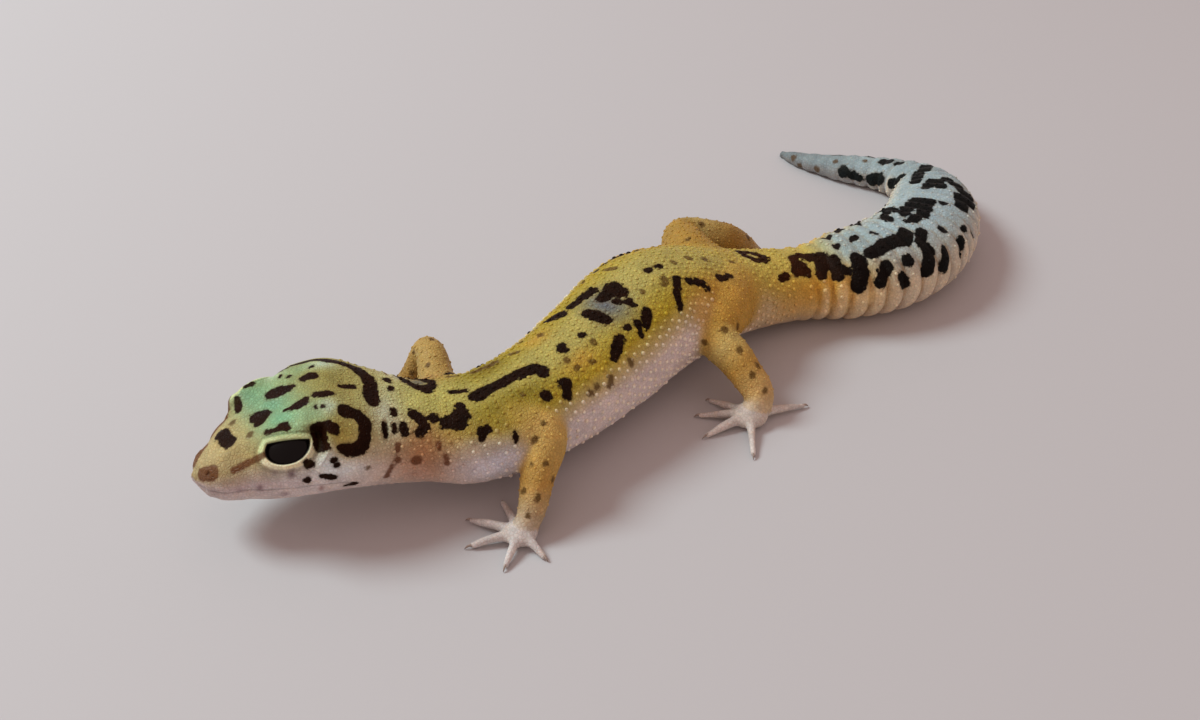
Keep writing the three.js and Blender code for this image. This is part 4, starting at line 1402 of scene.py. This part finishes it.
@dataclass
class Tubercles:
    """Raised round scales in staggered rows over the neck, back, flanks, tail and legs."""

    flesh: Flesh
    bands: tuple[Band, ...] = (
        Band(23.5, 31, 1.2, 0.6, 76, 0.8),  # back of the head
        Band(31, 44, 1.3, 0.8, 104, 0.9),  # neck
        Band(44, 113, 1.35, 1.0, 112, 1.0),  # trunk
        Band(116, 190, 2.9, 1.1, 104, 1.3, shrink=0.5 / 75),  # one ring for each round of the tail
    )
    spacing: float = 1.4
    radius: float = 0.38
    lift: float = 0.28
    missing: float = 0.08  # share of places left bare
    stray: float = 0.16  # how far one may lie from its ring
    leg_radius: float = 0.42
    leg_lift: float = 0.27
    sides: int = 7
    profile: Rows = ((1.0, -0.12, 0.0), (0.9, 0.34, 0.25), (0.52, 0.86, 0.8))  # radius, height, paleness
    seed: int = 7
    patch: float = 0.0015  # half the room of one tubercle on the map

    def sites(self) -> dict[str, np.ndarray]:
        """Choose the places on the body.

        Returns:
            along, degrees, radius and lift of each tubercle.
        """
        random = np.random.default_rng(self.seed)
        body = self.flesh.body
        rings = [ring for band in self.bands for ring in band.rings()]
        chosen = []
        for index, (at, size, reach, spread) in enumerate(rings):
            across = float(body.reach(np.array([at, at]), np.array([90.0, 0.0])).sum()) / 2
            step = math.degrees(self.spacing * spread / across)
            turns = np.arange(90 - reach, 90 + reach, step) + (step / 2) * (index % 2)
            for turn in turns:
                if random.random() < self.missing:
                    continue
                place = at + random.normal(0, self.stray)
                scale = size * random.uniform(0.82, 1.12)
                chosen.append((place, turn + random.normal(0, step * 0.08), self.radius * scale,
                               self.lift * scale))
        along, degrees, radius, lift = np.array(chosen).T
        lift *= 0.6 + 0.4 * ease(np.abs(turn_between(degrees, 90)), 35, 75)
        return {"along": along, "degrees": degrees, "radius": radius, "lift": lift}

    def leg_sites(self) -> dict[str, np.ndarray]:
        """Choose the places on the legs.

        Returns:
            Points near the skin, their map places, radius and lift.
        """
        random = np.random.default_rng(self.seed + 1)
        points, maps, sizes = [], [], []
        for number, limb in enumerate(self.flesh.limbs):
            chain = limb.leg_chain()
            pitch = np.linalg.norm(np.diff(chain[:, :3], axis=0), axis=1).mean()
            rings = range(4, int(len(chain) * 0.88), max(1, round(self.spacing / pitch)))
            for row, index in enumerate(rings):
                across, upward = limb.axes_at(chain, index)
                step = math.degrees(self.spacing / chain[index, 3])
                for turn in np.arange(-30, 210, step) + (step / 2) * (row % 2):
                    angle = math.radians(turn + random.normal(0, 4))
                    out = across * math.cos(angle) + upward * math.sin(angle)
                    points.append(chain[index, :3] + out * chain[index, 3])
                    maps.append((0.03 + 0.94 * index / len(chain), 0.765 + 0.06 * number + 0.05 * turn / 360))
                    scale = random.uniform(0.55, 0.8) * (1 - 0.35 * index / len(chain))
                    sizes.append((self.leg_radius * scale, self.leg_lift * scale))
        radius, lift = np.array(sizes).T
        return {"points": np.array(points), "map": np.array(maps), "radius": radius, "lift": lift}

    def build(self, finish: "SkinFinish") -> bpy.types.Object:
        """Make all the tubercles as one joined mesh."""
        body = self.sites()
        legs = self.leg_sites()
        flesh = self.flesh
        roots = np.concatenate([flesh.body.point(body["along"], body["degrees"]), legs["points"]])
        roots = flesh.settle(roots, passes=3)
        lengthwise = 0.02 + 0.96 * body["along"] / flesh.body.length
        round_it = 0.01 + 0.72 * ((body["degrees"] + 90) % 360) / 360
        maps = np.concatenate([np.stack([lengthwise, round_it], 1), legs["map"]])
        radius = np.concatenate([body["radius"], legs["radius"]])
        lift = np.concatenate([body["lift"], legs["lift"]])
        share = np.max([row["share"] for row in flesh.leg_shares(roots)], axis=0)
        on_body = np.arange(len(roots)) < len(body["along"])
        keep = np.where(on_body, share < 0.35, share > 0.5) & (roots[:, 2] > 0.6)
        for eye in flesh.eyes.values():
            keep &= np.linalg.norm(roots - eye.middle, axis=1) > 6.5
        place = flesh.body.place(roots)
        keep &= EAR.distance(flesh.body, roots) > 1.9
        roots, maps, radius, lift, on_body = (part[keep] for part in (roots, maps, radius, lift, on_body))
        made = flesh.dress(roots)
        self._pale(made, {key: part[keep] for key, part in place.items()}, on_body)
        return self._join(made, flesh.normals(roots), radius, lift, maps, finish)

    def _pale(self, made: dict[str, np.ndarray], place: dict[str, np.ndarray], on_body: np.ndarray) -> None:
        """Make the tubercles of the lower flanks and of the tail's rings paler than the skin."""
        from_back = np.abs(turn_between(place["degrees"], 90))
        along = place["along"]
        flank = ease(from_back, 50, 78) * ease(along, 38, 50) * (1 - ease(along, 96, 108)) * on_body
        flank *= 1 - KNEE.share(along, place["degrees"])
        tail = ease(along, 114, 120) * on_body
        for share, colour in ((0.85 * flank, PALE_FLANK), (0.2 * tail, PALE_RING)):
            weight = share[:, None]
            made["ground"] = made["ground"] * (1 - weight) + to_linear(np.array(colour)) * weight

    def _join(self, made: dict[str, np.ndarray], normals: np.ndarray, radius: np.ndarray, lift: np.ndarray,
              maps: np.ndarray, finish: "SkinFinish") -> bpy.types.Object:
        """Raise one dome on each root and join them in one piece."""
        roots = made.pop("points")
        side = np.cross(normals, (0.31, 0.52, 0.79))
        side /= np.linalg.norm(side, axis=1, keepdims=True)
        other = np.cross(normals, side)
        turns = 2 * np.pi * np.arange(self.sides) / self.sides
        points, places, tips = [], [], []
        for share, height, pale in self.profile:
            for turn in turns:
                spoke = side * math.cos(turn) + other * math.sin(turn)
                points.append(roots + spoke * (radius * share)[:, None] + normals * (lift * height)[:, None])
                places.append(maps + self.patch * share * np.array([math.cos(turn), math.sin(turn)]))
                tips.append(np.full(len(roots), pale))
        points.append(roots + normals * lift[:, None])
        places.append(maps)
        tips.append(np.ones(len(roots)))
        count = len(points)
        rings = len(self.profile)
        cell = [[r * self.sides + k, r * self.sides + (k + 1) % self.sides,
                 (r + 1) * self.sides + (k + 1) % self.sides, (r + 1) * self.sides + k]
                for r in range(rings - 1) for k in range(self.sides)]
        cell += [[(rings - 1) * self.sides + k, (rings - 1) * self.sides + (k + 1) % self.sides, count - 1]
                 for k in range(self.sides)]
        cell.append(list(range(self.sides))[::-1])
        joined = {"points": np.stack(points, 1).reshape(-1, 3), "tip": np.stack(tips, 1).ravel()}
        joined["points"][:, 2] = np.maximum(joined["points"][:, 2], self.flesh.floor)
        for key, values in made.items():
            joined[key] = np.repeat(values, count, axis=0)
        faces = [[i * count + corner for corner in face] for i in range(len(roots)) for face in cell]
        piece = mesh_piece("tubercles", joined, faces, finish.material())
        layer = piece.data.uv_layers.new(name="OFBake")
        corners_of = np.empty(len(piece.data.loops), int)
        piece.data.loops.foreach_get("vertex_index", corners_of)
        layer.data.foreach_set("uv", np.stack(places, 1).reshape(-1, 2)[corners_of].ravel())
        return piece


# ---------------------------------------------------------------- claws


@dataclass
class Claws:
    """Twenty curved claws, one at the end of each toe."""

    limbs: tuple[Limb, ...] = LIMBS
    sides: int = 10
    steps: int = 6
    root_radius: float = 0.27
    tip_radius: float = 0.035
    rooted: float = 0.25  # how deep its root sits in the toe
    arch: float = 0.26

    def build(self, material: bpy.types.Material) -> bpy.types.Object:
        """Join all the claws in one mesh."""
        points, faces = [], []
        for limb in self.limbs:
            for chain, tip in zip(limb.toe_chains(), limb.toes):
                start = chain[-1, :3]
                end = np.array([tip[0] - ORIGIN[0], tip[1] - ORIGIN[1], 0.12])
                self._claw(start, end, points, faces)
        return mesh_piece("claws", {"points": np.array(points)}, faces, material)

    def _claw(self, start: np.ndarray, end: np.ndarray, points: list, faces: list) -> None:
        """Add one claw from the toe's end to its point on the floor."""
        ahead = (end - start) / np.linalg.norm(end - start)
        across, upward = cross_axes(ahead)
        first = len(points)
        for i in range(self.steps + 1):
            t = i / self.steps
            middle = start - ahead * self.rooted * (1 - t) + (end - start) * t
            middle += upward * self.arch * math.sin(math.pi * t)
            radius = self.root_radius * (1 - t) ** 0.7 + self.tip_radius
            for k in range(self.sides):
                turn = 2 * math.pi * k / self.sides
                out = across * math.cos(turn) * 0.75 + upward * math.sin(turn)
                point = middle + out * radius
                point[2] = max(point[2], 0.02)
                points.append(point)
        for i in range(self.steps):
            for k in range(self.sides):
                a, b = first + i * self.sides + k, first + i * self.sides + (k + 1) % self.sides
                faces.append([b, a, a + self.sides, b + self.sides])
        last = first + self.steps * self.sides
        faces.append([first + k for k in range(self.sides)])
        faces.append([last + self.sides - 1 - k for k in range(self.sides)])


# ---------------------------------------------------------------- finishes


@dataclass
class Shader:
    """A material under construction, with short ways to add and join its nodes."""

    name: str

    def __post_init__(self) -> None:
        """Start the material with its surface shader."""
        self.material = bpy.data.materials.new(self.name)
        self.material.use_nodes = True
        self.tree = self.material.node_tree
        self.surface = self.tree.nodes["Principled BSDF"]

    def add(self, kind: str, inputs: dict[str | int, object], **settings: object) -> bpy.types.Node:
        """Add a node.

        Args:
            kind: The node's type, without its prefix.
            inputs: Values or sockets for its inputs.
            **settings: The node's own settings.

        Returns:
            The node.
        """
        node = self.tree.nodes.new(f"ShaderNode{kind}")
        for key, value in settings.items():
            setattr(node, key, value)
        for key, value in inputs.items():
            self.set(node.inputs[key], value)
        return node

    def set(self, socket: bpy.types.NodeSocket, value: object) -> None:
        """Join a socket to another one, or give it a value."""
        if isinstance(value, bpy.types.NodeSocket):
            self.tree.links.new(value, socket)
        else:
            socket.default_value = value

    def math(self, operation: str, *values: object) -> bpy.types.NodeSocket:
        """Work out a number from numbers."""
        return self.add("Math", dict(enumerate(values)), operation=operation).outputs[0]

    def span(self, value: object, low: float, high: float, start: float = 0.0, end: float = 1.0
             ) -> bpy.types.NodeSocket:
        """Turn low..high smoothly into start..end."""
        inputs = {0: value, 1: low, 2: high, 3: start, 4: end}
        return self.add("MapRange", inputs, interpolation_type="SMOOTHSTEP").outputs[0]

    def mix(self, share: object, first: object, second: object, blend: str = "MIX") -> bpy.types.NodeSocket:
        """Mix two colours."""
        node = self.tree.nodes.new("ShaderNodeMix")
        node.data_type, node.blend_type = "RGBA", blend
        sockets = [s for s in node.inputs if s.enabled]
        for socket, value in zip(sockets, (share, first, second)):
            self.set(socket, (*value, 1.0) if isinstance(value, tuple) and len(value) == 3 else value)
        return next(s for s in node.outputs if s.enabled)

    def times(self, first: object, second: object) -> bpy.types.NodeSocket:
        """Multiply two colours."""
        return self.mix(1.0, first, second, "MULTIPLY")

    def glaze(self, under: object, over: object, share: object, strength: float) -> bpy.types.NodeSocket:
        """Lay one colour over another, as thickly as a share and a strength say."""
        return self.mix(self.math("MULTIPLY", share, strength), under, over)

    def attribute(self, name: str, colour: bool = False) -> bpy.types.NodeSocket:
        """Read one of the mesh's attributes."""
        node = self.add("Attribute", {}, attribute_name=name)
        return node.outputs["Color" if colour else "Fac"]

    def millimetres(self) -> bpy.types.NodeSocket:
        """The surface's own places, in millimetres."""
        place = self.add("TexCoord", {}).outputs["Object"]
        return self.add("VectorMath", {0: place, "Scale": 1 / MM}, operation="SCALE").outputs[0]

    def noise(self, place: bpy.types.NodeSocket, size: float, detail: float = 2.0) -> bpy.types.NodeSocket:
        """Soft noise from 0 to 1 with blotches of about `size` millimetres."""
        return self.add("TexNoise", {"Vector": place, "Scale": 1 / size, "Detail": detail}).outputs[0]

    def cells(self, place: bpy.types.NodeSocket, size: float, feature: str = "F1") -> bpy.types.Node:
        """A pattern of close scales of about `size` millimetres."""
        inputs = {"Vector": place, "Scale": 1 / size, "Randomness": 0.8}
        return self.add("TexVoronoi", inputs, feature=feature)


@dataclass(frozen=True)
class SkinFinish:
    """Fine granular skin: ground colours, scalloped dark marks and small scales in relief."""

    name: str = "granular skin"
    scale: float = 0.56
    roughness: float = 0.5
    flesh_glow: float = 0.12
    relief: float = 0.06
    halo: Colour = (122, 92, 40)  # these seven are screen colours
    stain: Colour = (88, 60, 12)
    rust: Colour = (102, 54, 20)
    # painted shade between the scales
    groove: Colour = (150, 120, 92)
    # painted shade laid into the creases
    crease_shade: Colour = (46, 30, 22)
    # painted shade in the fold round the lids, and in the gap where the lids meet the eye
    lid_fold_shade: Colour = (66, 62, 34)
    lid_gap_shade: Colour = (24, 20, 16)

    def material(self) -> bpy.types.Material:
        """Make the material."""
        shader = Shader(self.name)
        place = shader.millimetres()
        scales = shader.cells(place, self.scale)
        groove = shader.cells(place, self.scale, "DISTANCE_TO_EDGE").outputs["Distance"]
        chance = shader.add("SeparateColor", {0: scales.outputs["Color"]})
        ground = self._ground(shader, place, chance)
        crown = shader.span(groove, 0.02, 0.2)
        ragged = shader.math("MULTIPLY_ADD", chance.outputs[0], 0.34, shader.noise(place, 1.3, 3.0))
        ragged = shader.math("MULTIPLY", shader.math("SUBTRACT", ragged, 0.67), 0.7)
        dark = shader.math("ADD", shader.attribute("dark"), ragged)
        stain = shader.math("ADD", shader.attribute("stain"), ragged)
        rust = shader.math("MULTIPLY_ADD", ragged, 0.5, shader.attribute("rust"))
        even = shader.attribute("ink", True)
        worn = shader.span(shader.noise(place, 2.0), 0.3, 0.8)
        ink = shader.mix(worn, even, shader.times(even, (1.7, 1.5, 1.3)))
        inked = shader.span(dark, 0.5, 0.2)
        colour = shader.glaze(ground, screen(*self.halo), shader.span(dark, 0.95, 0.3), 0.25)
        colour = shader.glaze(colour, screen(*self.stain), shader.span(stain, 0.42, -0.12), 0.85)
        colour = shader.glaze(colour, screen(*self.rust), shader.span(rust, 0.42, -0.05), 0.88)
        colour = shader.mix(inked, colour, ink)
        # Painted shade in the grooves between the scales: darker towards each scale's edge.
        between = shader.times(colour, screen(*self.groove))
        colour = shader.glaze(colour, between, shader.span(crown, 1.0, 0.0), 0.17)
        # painted shade in the creases
        colour = shader.glaze(colour, screen(*self.crease_shade), shader.attribute("crease_shade"), 0.85)
        colour = shader.glaze(colour, shader.times(colour, (1.5, 1.5, 1.5)), shader.attribute("tip"), 0.32)
        colour = self._lids(shader, colour)
        shader.set(shader.surface.inputs["Base Color"], colour)
        rough = shader.math("MULTIPLY_ADD", chance.outputs[1], 0.16, self.roughness - 0.08)
        shader.set(shader.surface.inputs["Roughness"], rough)
        shader.set(shader.surface.inputs["Specular IOR Level"], shader.span(inked, 0.0, 1.0, 0.18, 0.05))
        shader.surface.inputs["Subsurface Weight"].default_value = self.flesh_glow
        shader.surface.inputs["Subsurface Radius"].default_value = (1.0, 0.45, 0.28)
        shader.surface.inputs["Subsurface Scale"].default_value = 0.7 * MM
        self._bump(shader, place, crown)
        return shader.material

    def _ground(self, shader: Shader, place: bpy.types.NodeSocket, chance: bpy.types.Node
                ) -> bpy.types.NodeSocket:
        """Ground colour, uneven from scale to scale and in soft clouds."""
        ground = shader.attribute("ground", True)
        clouds = shader.noise(place, 3.2, 3.0)
        bright = shader.math("MULTIPLY_ADD", chance.outputs[0], 0.16, 0.95)
        bright = shader.math("MULTIPLY", bright, shader.span(clouds, 0.3, 0.75, 0.92, 1.12))
        ground = shader.times(ground, shader.add("CombineColor", dict.fromkeys(range(3), bright)).outputs[0])
        warm = shader.span(shader.noise(place, 1.6), 0.45, 0.75)
        return shader.glaze(ground, shader.times(ground, (1.08, 0.93, 0.72)), warm, 0.25)

    def _lids(self, shader: Shader, colour: bpy.types.NodeSocket) -> bpy.types.NodeSocket:
        """Paint shade into the fold round the lids and into the gap at their very edge, where they meet the
        eye.
        """
        edge = shader.attribute("lid")
        line = shader.math("MULTIPLY", shader.span(edge, 0.95, 1.15), shader.span(edge, 1.55, 1.25))
        colour = shader.glaze(colour, screen(*self.lid_fold_shade), line, 0.25)
        return shader.mix(shader.span(edge, 0.16, 0.02), colour, screen(*self.lid_gap_shade))

    def _bump(self, shader: Shader, place: bpy.types.NodeSocket, crown: bpy.types.NodeSocket) -> None:
        """Raise the scales, with a finer grain on top."""
        fine = shader.noise(place, 0.16, 2.0)
        height = shader.math("MULTIPLY_ADD", fine, 0.14, crown)
        edge = shader.span(shader.attribute("lid"), 0.1, 1.2, 0.35, 1.0)
        strength = shader.math("MULTIPLY", edge, shader.span(shader.attribute("foot"), 0, 1, 1.0, 0.55))
        height = shader.math("MULTIPLY", height, strength)
        bump = shader.add("Bump", {"Height": height, "Strength": 1.0, "Distance": self.relief * MM})
        shader.set(shader.surface.inputs["Normal"], bump.outputs[0])


@dataclass(frozen=True)
class EyeFinish:
    """A wet, nearly black eye with a dark olive iris and an upright slit pupil."""

    iris_radius: float = 2.5
    slit: float = 0.42
    iris: tuple[Colour, Colour] = ((9, 12, 10), (24, 26, 19))
    ball: Colour = (14, 12, 11)
    pupil: Colour = (4, 4, 4)

    def material(self) -> bpy.types.Material:
        """Make the material."""
        shader = Shader("wet eye")
        axes = shader.add("SeparateXYZ", {0: shader.millimetres()}).outputs
        ahead, above = axes[0], axes[1]
        away = shader.math("SQRT", shader.math("ADD", shader.math("POWER", ahead, 2.0),
                                               shader.math("POWER", above, 2.0)))
        turn = shader.math("ARCTAN2", above, ahead)
        streaks = shader.add("TexNoise", {"Vector": shader.add("CombineXYZ", {0: turn, 1: away}).outputs[0],
                                          "Scale": 3.0, "Detail": 3.0}).outputs[0]
        dark, light = (screen(*shade) for shade in self.iris)
        iris = shader.mix(shader.span(streaks, 0.35, 0.7), dark, light)
        rim = shader.span(away, self.iris_radius, self.iris_radius + 0.3)
        colour = shader.mix(rim, iris, screen(*self.ball))
        width = shader.math("ABSOLUTE", ahead)
        height = shader.span(shader.math("ABSOLUTE", above), 1.9, 0.6, 0.05, self.slit)
        pupil = shader.span(shader.math("SUBTRACT", width, height), 0.06, -0.06)
        colour = shader.mix(pupil, colour, screen(*self.pupil))
        shader.set(shader.surface.inputs["Base Color"], colour)
        shader.surface.inputs["Roughness"].default_value = 0.3
        shader.surface.inputs["Specular IOR Level"].default_value = 0.05
        shader.surface.inputs["Coat Weight"].default_value = 0.22
        shader.surface.inputs["Coat Roughness"].default_value = 0.04
        return shader.material


@dataclass(frozen=True)
class HornFinish:
    """Thin horn, darker towards the claw's point."""

    point: Colour = (120, 106, 96)
    root: Colour = (176, 160, 148)
    clouds: Colour = (150, 132, 118)
    roughness: float = 0.34

    def material(self) -> bpy.types.Material:
        """Make the material."""
        shader = Shader("claw horn")
        place = shader.millimetres()
        low = shader.span(shader.add("SeparateXYZ", {0: place}).outputs[2], 0.1, 0.9)
        colour = shader.mix(low, screen(*self.point), screen(*self.root))
        cloudy = shader.span(shader.noise(place, 0.3), 0.4, 0.7)
        colour = shader.mix(cloudy, colour, screen(*self.clouds))
        shader.set(shader.surface.inputs["Base Color"], colour)
        shader.surface.inputs["Roughness"].default_value = self.roughness
        return shader.material


# ---------------------------------------------------------------- studio


@dataclass
class Studio:
    """Pale floor, soft light from above, and the camera."""

    target: tuple[float, float, float] = (-2.5, -8.2, 0.0)
    camera_place: tuple[float, float, float] = (161.1, -145.5, 155.2)
    lens: float = 45.0
    floor_colour: tuple[float, float, float] = (194, 194, 195)
    sky_colour: Colour = (1.0, 0.72, 0.67)
    sky: float = 0.54
    key_place: tuple[float, float, float] = (-560.0, -370.0, 700.0)
    key_colour: Colour = (0.84, 0.97, 1.0)
    key_size: float = 400.0
    key_power: float = 7.1

    def build(self) -> None:
        """Set up the floor, lights and camera."""
        self._floor()
        self._light()
        self._camera()

    def _floor(self) -> None:
        """Lay a wide pale floor."""
        half = 3.0
        mesh = bpy.data.meshes.new("floor")
        mesh.from_pydata([(-half, -half, 0), (half, -half, 0), (half, half, 0), (-half, half, 0)], [],
                         [(0, 1, 2, 3)])
        shader = Shader("pale floor")
        shader.surface.inputs["Base Color"].default_value = (*screen(*self.floor_colour), 1.0)
        shader.surface.inputs["Roughness"].default_value = 0.75
        mesh.materials.append(shader.material)
        to_scene("floor", mesh)

    def _light(self) -> None:
        """Light the scene with a soft sky and one large soft lamp."""
        world = bpy.data.worlds.new("soft sky")
        bpy.context.scene.world = world
        world.use_nodes = True
        sky = world.node_tree.nodes["Background"]
        sky.inputs["Color"].default_value = (*self.sky_colour, 1.0)
        sky.inputs["Strength"].default_value = self.sky
        lamp = bpy.data.lights.new("key", "AREA")
        lamp.shape, lamp.size, lamp.energy = "DISK", self.key_size * MM, self.key_power
        lamp.color = self.key_colour
        key = to_scene("key", lamp)
        key.location = Vector(self.key_place) * MM
        key.rotation_euler = (-Vector(self.key_place)).to_track_quat("-Z", "Y").to_euler()

    def _camera(self) -> None:
        """Place the camera."""
        lens = bpy.data.cameras.new("camera")
        lens.lens, lens.sensor_width = self.lens, 36.0
        lens.clip_start = 0.01
        camera = to_scene("camera", lens)
        place, target = Vector(self.camera_place), Vector(self.target)
        camera.location = place * MM
        camera.rotation_euler = (target - place).to_track_quat("-Z", "Y").to_euler()
        bpy.context.scene.camera = camera
        bpy.context.scene.view_settings.view_transform = "Standard"


def place_piece(piece: bpy.types.Object, nodes: tuple[str, ...] = ()) -> None:
    """Let a piece ride on the model and stand for its nodes."""
    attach(piece, "root")
    if nodes:
        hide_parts(*nodes)
    log.info("%s: %d faces", piece.name, len(piece.data.polygons))


def main() -> None:
    """Build the pieces in order."""
    logging.basicConfig(level=logging.INFO, format="%(message)s")
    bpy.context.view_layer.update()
    flesh = Flesh()
    skin = Skin(flesh).build(SkinFinish())
    limb_nodes = [node for limb in LIMBS for node in limb.nodes()]
    place_piece(skin, (*FLESH_NODES, *limb_nodes))
    place_piece(Tubercles(flesh).build(SkinFinish(name="tubercle skin", scale=0.9, relief=0.03)))
    wet = EyeFinish().material()
    for side, eye in flesh.eyes.items():
        ball = eye.build(f"{side}_eyeball")
        ball.data.materials.append(wet)
        place_piece(ball, (f"{side}_eye",))
    place_piece(Claws().build(HornFinish().material()))
    Studio().build()


if __name__ == "__main__":
    main()
